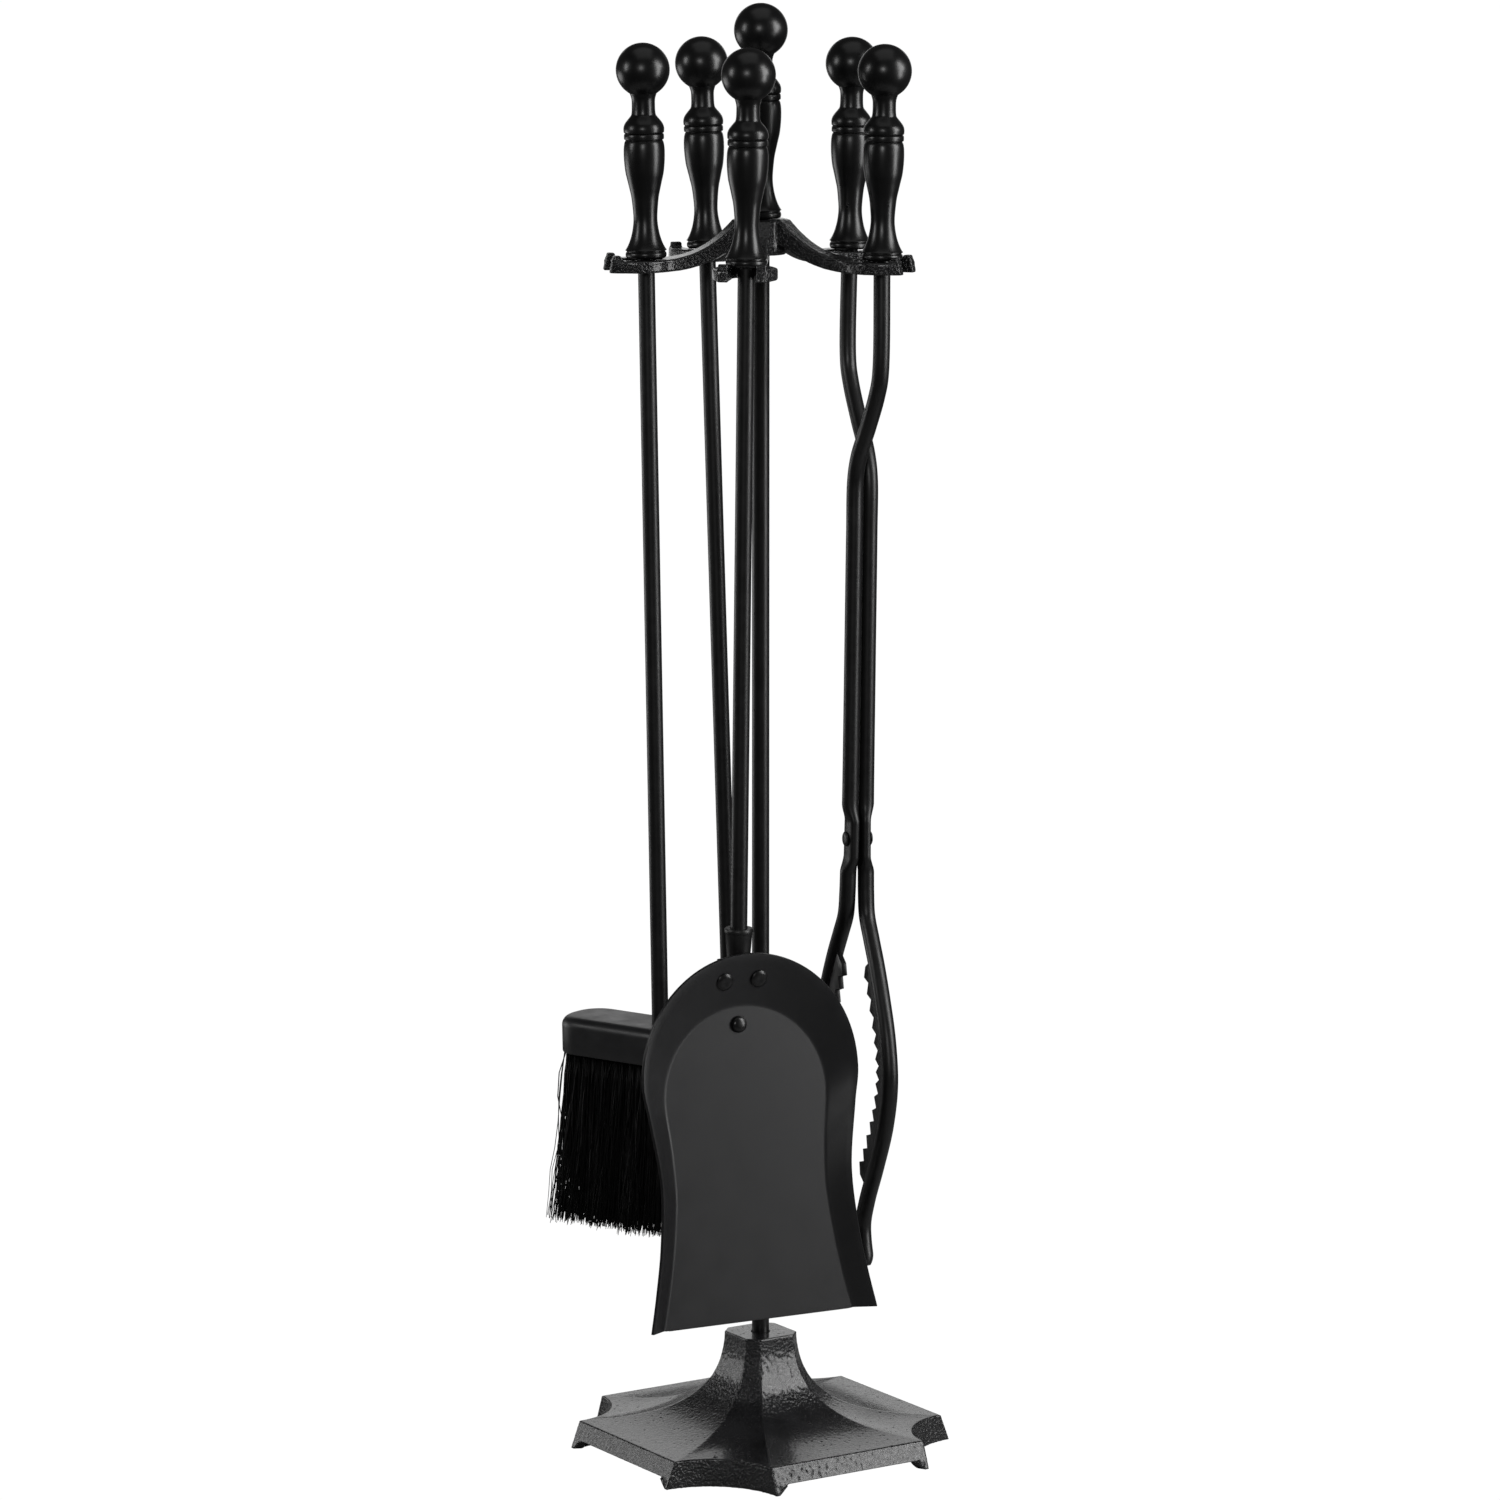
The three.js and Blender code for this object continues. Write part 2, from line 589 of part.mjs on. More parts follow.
// One arm, its handle end at +X; `side` is -1 or 1, the side of the rivet plane it lies on.
function tongArm(side) {
  const path = armPath();
  const rings = [];
  const stations = 60;
  for (let i = 0; i <= stations; i++) {
    const share = i / stations;
    const { x, y: flat, z } = path.getPoint(share);
    const along = path.getTangent(share).setY(0).normalize();
    const pressed = THREE.MathUtils.clamp(flat, 0, 1);
    const inner = armPitch / 2 - rodRadius;
    const thick = mix(2 * rodRadius, flatThickness, pressed) / 2;
    const tip = smooth(share, 0.985, 1);
    const wide = mix(mix(rodRadius, rodRadius * 1.45, pressed), rodRadius * 0.6, tip);
    const ring = [];
    for (let k = 0; k < 10; k++) {
      const angle = k / 10 * Math.PI * 2;
      const out = wide * Math.cos(angle);
      ring.push(new THREE.Vector3(x + out * along.z, side * (inner + thick + thick * Math.sin(angle)),
        z - out * along.x));
    }
    rings.push(ring);
  }
  const end = cylinder(rodThreadRadius, -rivetHeight() - gap - 2, -rivetHeight() + threadDepth, 16);
  end.translate(tongsSpread, side * armPitch / 2, 0);
  rings[0].forEach((point) => { point.z -= gap; });
  const hole = cylinder(rivetRadius + runningGap, -20, 20, 24).rotateX(Math.PI / 2);
  return shape(solid(loft(rings)).add(solid(end)).subtract(solid(hole)));
}

// A saw-toothed strip along the inside of a jaw bowed to -X, its teeth towards +X.
function toothStrip(side) {
  const path = armPath();
  const samples = path.getPoints(240).filter((p) => p.z < -62 && p.z > -195);
  const along = (index, out) => {
    const here = samples[index];
    const ahead = samples[Math.min(index + 1, samples.length - 1)];
    const behind = samples[Math.max(index - 1, 0)];
    const tangent = new THREE.Vector2(ahead.x - behind.x, ahead.z - behind.z).normalize();
    return [here.x - out * tangent.y, here.z + out * tangent.x];
  };
  const at = (share) => Math.round(share * (samples.length - 1));
  const teeth = [];
  const seat = [];
  for (let i = 0; i <= toothCount; i++) {
    seat.push(along(at(i / toothCount), rodRadius + gap));
    teeth.push(along(at(i / toothCount), rodRadius + stripHeight));
    if (i < toothCount) teeth.push(along(at((i + 0.5) / toothCount), rodRadius + stripHeight + toothHeight));
  }
  const strip = plate([...seat, ...teeth.reverse()], stripWidth);
  return clean(strip.translate(0, side * armPitch / 2, 0));
}

function tongsRivet() {
  const outer = armPitch / 2 - rodRadius + flatThickness + gap;
  const profile = [[0, -outer - 1], [2.6, -outer - 1], [3.8, -outer], [rivetRadius, -outer],
    [rivetRadius, outer], [3.8, outer], [2.6, outer + 1], [0, outer + 1]];
  return turned(profile, 24).rotateX(Math.PI / 2);
}

function tongsHalf(name, side) {
  const half = new THREE.Group();
  const grip = piece(`tongs_handle_${name}`, handle(rodThreadRadius), blackSatin);
  grip.position.set(tongsSpread, side * armPitch / 2, -rivetHeight());
  half.add(grip, piece(`tongs_arm_${name}`, tongArm(side), blackSatin),
    piece(`tongs_teeth_${name}`, toothStrip(side), blackSatin));
  return half;
}

function tongs() {
  const reach = (armReach - tongsInset) * Math.cos(tongsHalfAngle);
  const tool = hung(tongsMiddle, armReach - reach, [-0.011, 0]);
  const body = new THREE.Group();
  body.position.z = rivetHeight();
  body.rotation.z = tongsTurn;
  const back = tongsHalf('back', -1);
  back.rotation.z = Math.PI;
  body.add(piece('tongs_rivet', tongsRivet(), blackSatin), tongsHalf('front', -1), back);
  tool.add(body);
  return tool;
}

// ---------- assembly ----------
const stand = new THREE.Group();
const washer = piece('base_washer', baseWasher(), blackIron);
washer.position.z = columnHeight - columnRoof - gap - washerHeight;
const nut = piece('base_nut', baseNut(), blackIron);
nut.position.z = washer.position.z - gap - nutHeight;
const knob = piece('stand_handle', handle(poleThreadRadius), blackSatin);
knob.position.z = rackHeight + hubRise + gap;

const hangings = new THREE.Group();
hangings.rotation.z = radians(rackTurn);
hangings.add(piece('rack_casting', rackCasting(), blackIron), brush(), poker(), shovel(), tongs());

stand.add(piece('base_casting', baseCasting(), blackIron), washer, nut, piece('pole', pole(), blackSatin),
  knob, hangings);

// The origin is the middle of the whole set's footprint, on the floor.
stand.updateMatrixWorld(true);
const extent = new THREE.Box3().setFromObject(stand, true);
const footprint = extent.getCenter(new THREE.Vector3());
stand.position.set(-footprint.x, -footprint.y, -extent.min.z);

export default stand;
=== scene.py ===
import math
import random

import bpy
import numpy as np
from mathutils import Matrix, Vector, noise


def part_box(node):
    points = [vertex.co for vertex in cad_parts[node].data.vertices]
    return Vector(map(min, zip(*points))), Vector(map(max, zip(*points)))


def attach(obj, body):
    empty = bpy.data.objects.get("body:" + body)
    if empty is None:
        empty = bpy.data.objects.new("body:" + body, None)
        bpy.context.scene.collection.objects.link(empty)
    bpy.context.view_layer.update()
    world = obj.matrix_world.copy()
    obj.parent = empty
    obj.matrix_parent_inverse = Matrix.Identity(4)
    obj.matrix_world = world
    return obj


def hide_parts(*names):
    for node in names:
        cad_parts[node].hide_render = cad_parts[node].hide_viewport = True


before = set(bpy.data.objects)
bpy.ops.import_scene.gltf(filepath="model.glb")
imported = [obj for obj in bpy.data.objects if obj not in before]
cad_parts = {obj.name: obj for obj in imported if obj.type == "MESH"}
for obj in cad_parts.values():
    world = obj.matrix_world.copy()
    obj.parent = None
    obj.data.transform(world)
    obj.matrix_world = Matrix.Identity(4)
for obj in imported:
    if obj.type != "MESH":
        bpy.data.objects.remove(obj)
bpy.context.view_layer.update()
mm = 0.001
scene = bpy.context.scene


def nodePoints(node):
    points = np.array([v.co[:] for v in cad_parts[node].data.vertices])
    return np.unique(points.round(6), axis=0)


def axisOf(node):
    # the middle line of a turned node: its lower end, its upper end and the way up
    points = nodePoints(node)
    centre = points.mean(axis=0)
    up = np.linalg.svd(points - centre)[2][0]
    up = up * math.copysign(1, up[2])
    along = (points - centre) @ up
    return Vector(centre + up * along.min()), Vector(centre + up * along.max()), Vector(up)


poleLow, poleHigh, _ = axisOf("pole")
poleAxis = Vector((poleLow.x, poleLow.y, 0))


def toolFrame(handleNode, turn=0):
    # a tool's own millimetres: origin under its handle's flange, Z up its rod
    low, _, up = axisOf(handleNode)
    lean = Vector((0, 0, 1)).rotation_difference(up).to_matrix().to_4x4()
    spin = Matrix.Rotation(math.radians(rack["turn"] + turn), 4, "Z")
    return Matrix.Translation(low) @ lean @ spin @ Matrix.Scale(mm, 4)


def standFrame(height=0.0, turn=0):
    spin = Matrix.Rotation(math.radians(turn), 4, "Z")
    return Matrix.Translation(poleAxis + Vector((0, 0, height))) @ spin @ Matrix.Scale(mm, 4)


def flowing(points, steps, even=False):
    # a smooth line through the points
    points = [Vector(p) for p in points]
    line = []
    for i in range(len(points) - 1):
        b, c = points[i], points[i + 1]
        a = points[i - 1] if i else (b if even else 2 * b - c)
        d = points[i + 2] if i + 2 < len(points) else (c if even else 2 * c - b)
        if even:
            leave, arrive = (c - a) / 2, (d - b) / 2
        else:
            s, t, u = (math.sqrt((q - p).length) or 1 for p, q in ((a, b), (b, c), (c, d)))
            leave = ((b - a) / s - (c - a) / (s + t) + (c - b) / t) * t
            arrive = ((c - b) / t - (d - b) / (t + u) + (d - c) / u) * t
        for k in range(steps):
            f = k / steps
            line.append(b + leave * f + (3 * (c - b) - 2 * leave - arrive) * f ** 2
                        + (2 * (b - c) + leave + arrive) * f ** 3)
    return line + [points[-1]]


def creased(mesh, sharp):
    # smooth, but for edges sharper than the angle
    mesh.shade_smooth()
    mesh.set_sharp_from_angle(angle=math.radians(sharp))
    return mesh


def meshFrom(name, points, faces, place, sharp=35):
    mesh = bpy.data.meshes.new(name)
    mesh.from_pydata([place @ Vector(p) for p in points], [], faces)
    mesh.validate()
    return creased(mesh, sharp)


def lofted(rings, closed=False):
    # points and faces of a skin over rings of equal counts, its ends filled unless it closes on itself
    count = len(rings[0])
    points = [p for ring in rings for p in ring]
    faces = []
    for r in range(len(rings) if closed else len(rings) - 1):
        here, there = r * count, (r + 1) % len(rings) * count
        for i in range(count):
            j = (i + 1) % count
            faces.append((here + i, here + j, there + j, there + i))
    if not closed:
        faces.append(tuple(reversed(range(count))))
        faces.append(tuple(range(len(points) - count, len(points))))
    return points, faces


def spun(profile, segments=64):
    # points and faces of a body turned about Z from (radius, height) pairs, lowest first
    points, faces, rows = [], [], []
    for radius, height in profile:
        if radius < 1e-6:
            rows.append([len(points)] * segments)
            points.append(Vector((0, 0, height)))
            continue
        rows.append(list(range(len(points), len(points) + segments)))
        for i in range(segments):
            angle = math.tau * i / segments
            points.append(Vector((radius * math.cos(angle), radius * math.sin(angle), height)))
    for low, high in zip(rows, rows[1:]):
        for i in range(segments):
            j = (i + 1) % segments
            corners = [low[i], low[j], high[j], high[i]]
            faces.append(tuple(dict.fromkeys(corners)))
    return points, faces


def placed(name, mesh, material, body, slotName, *nodes):
    piece = bpy.data.objects.new(name, mesh)
    scene.collection.objects.link(piece)
    mesh.materials.clear()
    mesh.materials.append(material)
    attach(piece, body)
    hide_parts(*nodes)
    return piece


def loose(name, shape, place=Matrix.Identity(4)):
    # a working object that isn't a piece yet
    item = bpy.data.objects.new(name, meshFrom(name, *shape, place))
    scene.collection.objects.link(item)
    return item


def settle(item):
    # applies the modifiers and gives the mesh, and removes the working object
    graph = bpy.context.evaluated_depsgraph_get()
    mesh = bpy.data.meshes.new_from_object(item.evaluated_get(graph))
    mesh.name = item.name
    bpy.data.objects.remove(item)
    return mesh


def bevel(item, width, segments, angle=30):
    edge = item.modifiers.new("edge", "BEVEL")
    edge.width = width
    edge.segments = segments
    edge.limit_method = "ANGLE"
    edge.angle_limit = math.radians(angle)


def joined(name, items):
    # several meshes as one, overlapping or not
    points, faces = [], []
    for item in items:
        start = len(points)
        points += [item.matrix_world @ v.co for v in item.data.vertices]
        faces += [tuple(start + i for i in polygon.vertices) for polygon in item.data.polygons]
        bpy.data.objects.remove(item)
    return loose(name, (points, faces))


def cast(item, voxel, smoothing, pits):
    # one skin with softened edges and the shallow hammering of a casting, all in millimetres
    remesh = item.modifiers.new("oneSkin", "REMESH")
    remesh.mode = "VOXEL"
    remesh.voxel_size = voxel
    soften = item.modifiers.new("soften", "SMOOTH")
    soften.factor = 0.5
    soften.iterations = smoothing
    mesh = settle(item)
    count = len(mesh.vertices)
    places = np.empty(count * 3)
    normals = np.empty(count * 3)
    mesh.vertices.foreach_get("co", places)
    mesh.vertex_normals.foreach_get("vector", normals)
    places = places.reshape(-1, 3)
    normals = normals.reshape(-1, 3)
    depth = np.array([pits(Vector(p), n) for p, n in zip(places, normals)])
    mesh.vertices.foreach_set("co", (places + normals * depth[:, None]).ravel())
    mesh.shade_smooth()
    return mesh


def moved(mesh, place):
    mesh.transform(place)
    return mesh


def finish(name, color, roughness, metallic=0.0, coat=0.0, coatRoughness=0.1, specular=0.5):
    material = bpy.data.materials.new(name)
    material.use_nodes = True
    shader = material.node_tree.nodes["Principled BSDF"]
    shader.inputs["Base Color"].default_value = (*color, 1)
    shader.inputs["Roughness"].default_value = roughness
    shader.inputs["Metallic"].default_value = metallic
    shader.inputs["Coat Weight"].default_value = coat
    shader.inputs["Coat Roughness"].default_value = coatRoughness
    shader.inputs["Specular IOR Level"].default_value = specular
    return material


def node(material, kind, inputs=None, **settings):
    made = material.node_tree.nodes.new(kind)
    for key, value in settings.items():
        setattr(made, key, value)
    for key, value in (inputs or {}).items():
        if isinstance(value, bpy.types.NodeSocket):
            material.node_tree.links.new(value, made.inputs[key])
        else:
            made.inputs[key].default_value = value
    return made


def grain(material, scale, detail=4.0, roughness=0.55, stretch=(1, 1, 1)):
    # cloudy noise in the piece's own metres
    where = node(material, "ShaderNodeTexCoord").outputs["Object"]
    spread = node(material, "ShaderNodeMapping", {"Vector": where, "Scale": stretch})
    return node(material, "ShaderNodeTexNoise", {"Vector": spread.outputs["Vector"], "Scale": scale,
                                                 "Detail": detail, "Roughness": roughness}).outputs["Fac"]


def cells(material, scale, smooth=0.6):
    where = node(material, "ShaderNodeTexCoord").outputs["Object"]
    return node(material, "ShaderNodeTexVoronoi", {"Vector": where, "Scale": scale, "Smoothness": smooth},
                feature="SMOOTH_F1").outputs["Distance"]


def ramped(material, value, low, high, stops=(0.3, 0.7)):
    return node(material, "ShaderNodeMapRange", {"Value": value, "From Min": stops[0], "From Max": stops[1],
                                                 "To Min": low, "To Max": high}).outputs["Result"]


def tinted(material, value, dark, light, stops=(0.3, 0.7)):
    ramp = node(material, "ShaderNodeValToRGB", {"Fac": value})
    ramp.color_ramp.elements[0].position = stops[0]
    ramp.color_ramp.elements[0].color = (*dark, 1)
    ramp.color_ramp.elements[1].position = stops[1]
    ramp.color_ramp.elements[1].color = (*light, 1)
    return ramp.outputs["Color"]


def relief(material, layers):
    # bumps on top of each other: (height, distance in metres, strength)
    below = None
    for height, distance, strength in layers:
        inputs = {"Height": height, "Distance": distance, "Strength": strength}
        if below:
            inputs["Normal"] = below
        below = node(material, "ShaderNodeBump", inputs).outputs["Normal"]
    return below


def wire(material, **sockets):
    shader = material.node_tree.nodes["Principled BSDF"]
    for name, value in sockets.items():
        material.node_tree.links.new(value, shader.inputs[name.replace("_", " ")])


ironLook = {
    "dark": (0.006, 0.006, 0.0065),
    "light": (0.016, 0.016, 0.0175),
    "hammerScale": 640,
    "hammerDepth": 0.0008,
    "wrinkleDepth": 0.0005,
}


def hammeredIron():
    iron = finish("hammeredIron", ironLook["light"], 0.3, coat=0.5, coatRoughness=0.12)
    clouds = grain(iron, 60, 3)
    hammer = cells(iron, ironLook["hammerScale"])
    wrinkle = grain(iron, 760, 3, 0.6)
    pores = grain(iron, 1700, 2, 0.5)
    normal = node(iron, "ShaderNodeNewGeometry").outputs["Normal"]
    facing = node(iron, "ShaderNodeSeparateXYZ", {"Vector": normal})
    # the flat top is smoother than the walls
    rough = ramped(iron, facing.outputs["Z"], 1, 0.13, (0.62, 0.96))
    wire(iron,
         Base_Color=tinted(iron, clouds, ironLook["dark"], ironLook["light"]),
         Roughness=ramped(iron, grain(iron, 240, 4), 0.17, 0.28),
         Normal=relief(iron, [(hammer, ironLook["hammerDepth"], rough),
                              (wrinkle, ironLook["wrinkleDepth"], rough),
                              (ramped(iron, pores, 0, 1, (0.28, 0.4)), 0.0002, 0.4)]))
    return iron


satinLook = {
    "dark": (0.003, 0.003, 0.0032),
    "light": (0.0048, 0.0048, 0.005),
}


def satinBlack(name="satinBlack", low=0.27, high=0.33):
    paint = finish(name, satinLook["light"], 0.25, specular=0.5)
    wire(paint,
         Base_Color=tinted(paint, grain(paint, 45, 3), satinLook["dark"], satinLook["light"]),
         Roughness=ramped(paint, grain(paint, 130, 5), low, high),
         Normal=relief(paint, [(grain(paint, 260, 2, 0.5), 0.0001, 0.1),
                               (grain(paint, 2600, 2), 0.00002, 0.12)]))
    return paint


panLook = {
    "dark": (0.0055, 0.0055, 0.0062),
    "light": (0.0078, 0.0078, 0.0088),
}


def panSheet():
    coat = finish("panSheet", panLook["light"], 0.4, specular=0.5)
    wire(coat,
         Base_Color=tinted(coat, grain(coat, 26, 4), panLook["dark"], panLook["light"]),
         Roughness=ramped(coat, grain(coat, 70, 5), 0.36, 0.44),
         Normal=relief(coat, [(grain(coat, 1500, 3, 0.6), 0.00006, 0.3)]))
    return coat


blockLook = {
    "dark": (0.009, 0.009, 0.0097),
    "light": (0.015, 0.015, 0.016),
}


def blockGrey():
    paint = finish("blockGrey", blockLook["light"], 0.4)
    wire(paint,
         Base_Color=tinted(paint, grain(paint, 40, 4), blockLook["dark"], blockLook["light"]),
         Roughness=ramped(paint, grain(paint, 90, 5), 0.33, 0.46),
         Normal=relief(paint, [(grain(paint, 500, 4, 0.6), 0.00014, 0.3),
                               (grain(paint, 140, 2, 0.5, (1, 1, 0.15)), 0.0002, 0.12)]))
    return paint


fibreLook = {
    "dark": (0.001, 0.001, 0.001),
    "light": (0.009, 0.009, 0.009),
}


def fibreBlack():
    fibre = finish("fibreBlack", fibreLook["light"], 0.5, specular=0.2)
    wire(fibre,
         Base_Color=tinted(fibre, grain(fibre, 300, 2, 0.5, (1, 1, 0.05)), fibreLook["dark"],
                           fibreLook["light"], (0.35, 0.75)),
         Roughness=ramped(fibre, grain(fibre, 500, 2, 0.5, (1, 1, 0.1)), 0.38, 0.62))
    return fibre


steelLook = {
    "dark": (0.02, 0.02, 0.022),
    "light": (0.06, 0.058, 0.055),
}


def blackenedSteel():
    steel = finish("blackenedSteel", steelLook["light"], 0.4, metallic=0.85)
    wire(steel,
         Base_Color=tinted(steel, grain(steel, 200, 4), steelLook["dark"], steelLook["light"]),
         Roughness=ramped(steel, grain(steel, 400, 4), 0.3, 0.55),
         Normal=relief(steel, [(grain(steel, 900, 3), 0.00008, 0.3)]))
    return steel


iron = hammeredIron()
satin = satinBlack()
rodPaint = satinBlack("rodPaint", 0.34, 0.44)
sheet = panSheet()
blockPaint = blockGrey()
fibre = fibreBlack()
oxide = blackenedSteel()
print("finishes made")


view = {
    "turn": -33,  # degrees from straight in front
    "distance": 3.3,
    "height": 0.933,
    "aside": -0.1,  # degrees the camera looks past the pole
    "down": 9.4,
    "lens": 148.73,
}


def setCamera():
    camera = bpy.data.cameras.new("camera")
    camera.lens = view["lens"]
    camera.sensor_width = 36
    camera.clip_end = 50
    holder = bpy.data.objects.new("camera", camera)
    turn = math.radians(view["turn"])
    side = Vector((math.sin(turn), -math.cos(turn), 0))
    holder.location = poleAxis + side * view["distance"] + Vector((0, 0, view["height"]))
    holder.rotation_euler = (math.radians(90 - view["down"]), 0, turn - math.radians(view["aside"]))
    scene.collection.objects.link(holder)
    scene.camera = holder


lamps = {
    # name: degrees round the set from the camera, distance, height, width, tall, power, aims at height
    "leftWindow": (-76, 1.5, 1.0, 0.34, 0.5, 3.6, 0.6),
    "leftBack": (-118, 1.6, 0.28, 0.9, 0.5, 3.4, 0.3),
    "frontCard": (-7, 3.6, 1.45, 0.7, 0.5, 15, 0.6),
    "rightWindow": (70, 1.5, 0.83, 0.45, 1.5, 17, 0.3),
    "rightCard": (84, 1.5, 1.05, 0.3, 0.4, 3, 0.78),
    "top": (10, 0.3, 2.6, 2.0, 2.0, 5, 0.1),
    "backdrop": (180, 2.0, 0.75, 1.6, 1.0, 3.8, 0.3),
}


def setLamps():
    for name, (turn, distance, height, width, tall, power, aim) in lamps.items():
        lamp = bpy.data.lights.new(name, "AREA")
        lamp.shape = "RECTANGLE"
        lamp.size = width
        lamp.size_y = tall
        lamp.energy = power
        holder = bpy.data.objects.new(name, lamp)
        holder.visible_camera = False
        angle = math.radians(view["turn"] + turn)
        place = poleAxis + Vector((math.sin(angle), -math.cos(angle), 0)) * distance + Vector((0, 0, height))
        holder.location = place
        towards = poleAxis + Vector((0, 0, aim)) - place
        holder.rotation_euler = towards.to_track_quat("-Z", "Y").to_euler()
        scene.collection.objects.link(holder)


room = {
    "dim": 0.05,  # light from all round on the set
    "bright": 1.02,  # what the camera sees behind and under the set
    "floorRadius": 0.62,
    "floorDrop": 0.0004,  # under the set's feet
    "floorWhite": 0.4,
}


def setRoom():
    world = bpy.data.worlds.new("room")
    world.use_nodes = True
    scene.world = world
    nodes = world.node_tree.nodes
    links = world.node_tree.links
    dim = nodes["Background"]
    dim.inputs["Color"].default_value = (1, 1, 1, 1)
    dim.inputs["Strength"].default_value = room["dim"]
    bright = nodes.new("ShaderNodeBackground")
    bright.inputs["Color"].default_value = (1, 1, 1, 1)
    bright.inputs["Strength"].default_value = room["bright"]
    path = nodes.new("ShaderNodeLightPath")
    either = nodes.new("ShaderNodeMixShader")
    links.new(path.outputs["Is Camera Ray"], either.inputs["Fac"])
    links.new(dim.outputs["Background"], either.inputs[1])
    links.new(bright.outputs["Background"], either.inputs[2])
    links.new(either.outputs["Shader"], nodes["World Output"].inputs["Surface"])
    sides, grey = 96, room["floorWhite"]
    edge = [Vector((math.cos(a), math.sin(a), 0)) * room["floorRadius"]
            for a in (math.tau * k / sides for k in range(sides))]
    floor = loose("floor", (edge, [tuple(range(sides))]), Matrix.Translation(poleAxis))
    white = finish("floorWhite", (grey, grey, grey), 0.7, specular=0.2)
    wire(white, Base_Color=tinted(white, grain(white, 3, 2), (grey * 0.95,) * 3, (grey,) * 3))
    # plain white to the camera, a duller surface to everything else
    glow = node(white, "ShaderNodeEmission", {"Color": (1, 1, 1, 1), "Strength": room["bright"]})
    seen = node(white, "ShaderNodeLightPath").outputs["Is Camera Ray"]
    surface = white.node_tree.nodes["Principled BSDF"].outputs["BSDF"]
    both = node(white, "ShaderNodeMixShader", {"Fac": seen, 1: surface, 2: glow.outputs["Emission"]})
    ending = white.node_tree.nodes["Material Output"]
    white.node_tree.links.new(both.outputs["Shader"], ending.inputs["Surface"])
    floor.data.materials.append(white)
    floor.location.z = -room["floorDrop"]
    scene.view_settings.view_transform = "Standard"
    scene.view_settings.look = "None"


setCamera()
setLamps()
setRoom()
print("camera, lamps and floor set")


base = {
    "half": 86.5,  # to the plate's top edge
    "flare": 5.7,
    "skirt": 14.8,
    "notch": 37,
    "wall": 5,
    "columnTop": 64,
    "columnHalf": 16.5,
    "chamfer": 5.6,
    "roof": 8,
    "footLength": 6.5,
    "footLift": 5,
    "bore": 4.9,
    "hammer": (0.09, 0.03),  # height of the coarse and the fine hammering
    "pit": 0.3,  # depth of the pits in the flat top
    "skin": 0.09,  # taken off all over, so that the hammering stays inside
    "voxel": 0.6,
    "smoothing": 2,
}


def clamped(value, low=0.0, high=1.0):
    return max(low, min(high, value))


def eased(value, low, high):
    share = clamped((value - low) / (high - low))
    return share * share * (3 - 2 * share)


def baseRing(half, cut, height, lift=0.0):
    # straight sides between hollow corners at the plate, or straight cuts at the column
    hollow = eased(half, base["half"] * 0.35, base["half"] * 0.9)
    arcSteps, sideSteps = 16, 40
    between = half - cut - base["footLength"]
    ring = []
    for corner in range(4):
        spin = Matrix.Rotation(corner * math.pi / 2, 3, "Z")
        for i in range(arcSteps):
            share = i / arcSteps
            angle = share * math.pi / 2
            x = half - cut * (share + (math.sin(angle) - share) * hollow)
            y = half - cut * (1 - share + (math.cos(angle) - 1 + share) * hollow)
            ring.append(spin @ Vector((x, y, height)))
        for i in range(sideSteps):
            x = (half - cut) * (1 - 2 * i / sideSteps)
            raised = lift * clamped((between - abs(x)) / 3 + 1) if lift else 0
            ring.append(spin @ Vector((x, half, height + raised)))
    return ring


def bezier(a, b, c, d, share):
    rest = 1 - share
    return tuple(rest ** 3 * p + 3 * rest ** 2 * share * q + 3 * rest * share ** 2 * r + share ** 3 * s
                 for p, q, r, s in zip(a, b, c, d))


def cutAt(half):
    share = (half - base["columnHalf"]) / (base["half"] - base["columnHalf"])
    return base["chamfer"] + (base["notch"] - base["chamfer"]) * share


def baseMesh():
    half, flare, skirt, wall = base["half"], base["flare"], base["skirt"], base["wall"]
    column, top, notch = base["columnHalf"], base["columnTop"], base["notch"]
    floorHalf, floorCut = half + flare, notch + flare
    rings = [baseRing(floorHalf - wall * 0.5, floorCut - 1, 0, base["footLift"]),
             baseRing(floorHalf, floorCut, 0, base["footLift"])]
    for share in (0.35, 0.5, 0.7, 0.9):
        rings.append(baseRing(floorHalf - flare * share, floorCut - flare * share, skirt * share))
    levels = 44
    outer = ((half, skirt), (half * 0.58, skirt + 2.2), (column + 1, skirt + 7.2), (column, top))
    for i in range(levels + 1):
        wide, high = bezier(*outer, i / levels)
        rings.append(baseRing(wide, cutAt(wide), high))
    rings.append(baseRing(column * 0.6, base["chamfer"] * 0.8, top))
    for height in (top, top - base["roof"]):
        rings.append([Vector((p.x, p.y, 0)).normalized() * base["bore"] + Vector((0, 0, height))
                      for p in rings[-1]])
    inner = ((half - wall, skirt - wall), (half * 0.53, skirt + 2.2 - wall),
             (column - wall + 1, skirt + 7.2 - wall), (column - wall, top - base["roof"]))
    for i in range(levels, -1, -1):
        wide, high = bezier(*inner, i / levels)
        rings.append(baseRing(wide, cutAt(wide + wall) - 2.6, high))
    rings.append(baseRing(floorHalf - wall, floorCut - 2, 0, base["footLift"]))
    item = loose("baseCasting", lofted(rings, closed=True))

    def pits(place, normal):
        # hammered walls, a flatter top plate with small pits
        steep = 1 - eased(abs(normal[2]), 0.75, 0.97)
        coarse, fine = base["hammer"]
        hammer = noise.noise(place * 0.45) * coarse + noise.noise(place * 1.1) * fine
        pit = -base["pit"] * eased(noise.noise(place * 0.9 + Vector((40, 3, 9))), 0.5, 0.72)
        return hammer * (0.25 + 0.75 * steep) + pit * (1 - steep) - base["skin"]

    mesh = cast(item, base["voxel"], base["smoothing"], pits)
    return moved(mesh, standFrame())


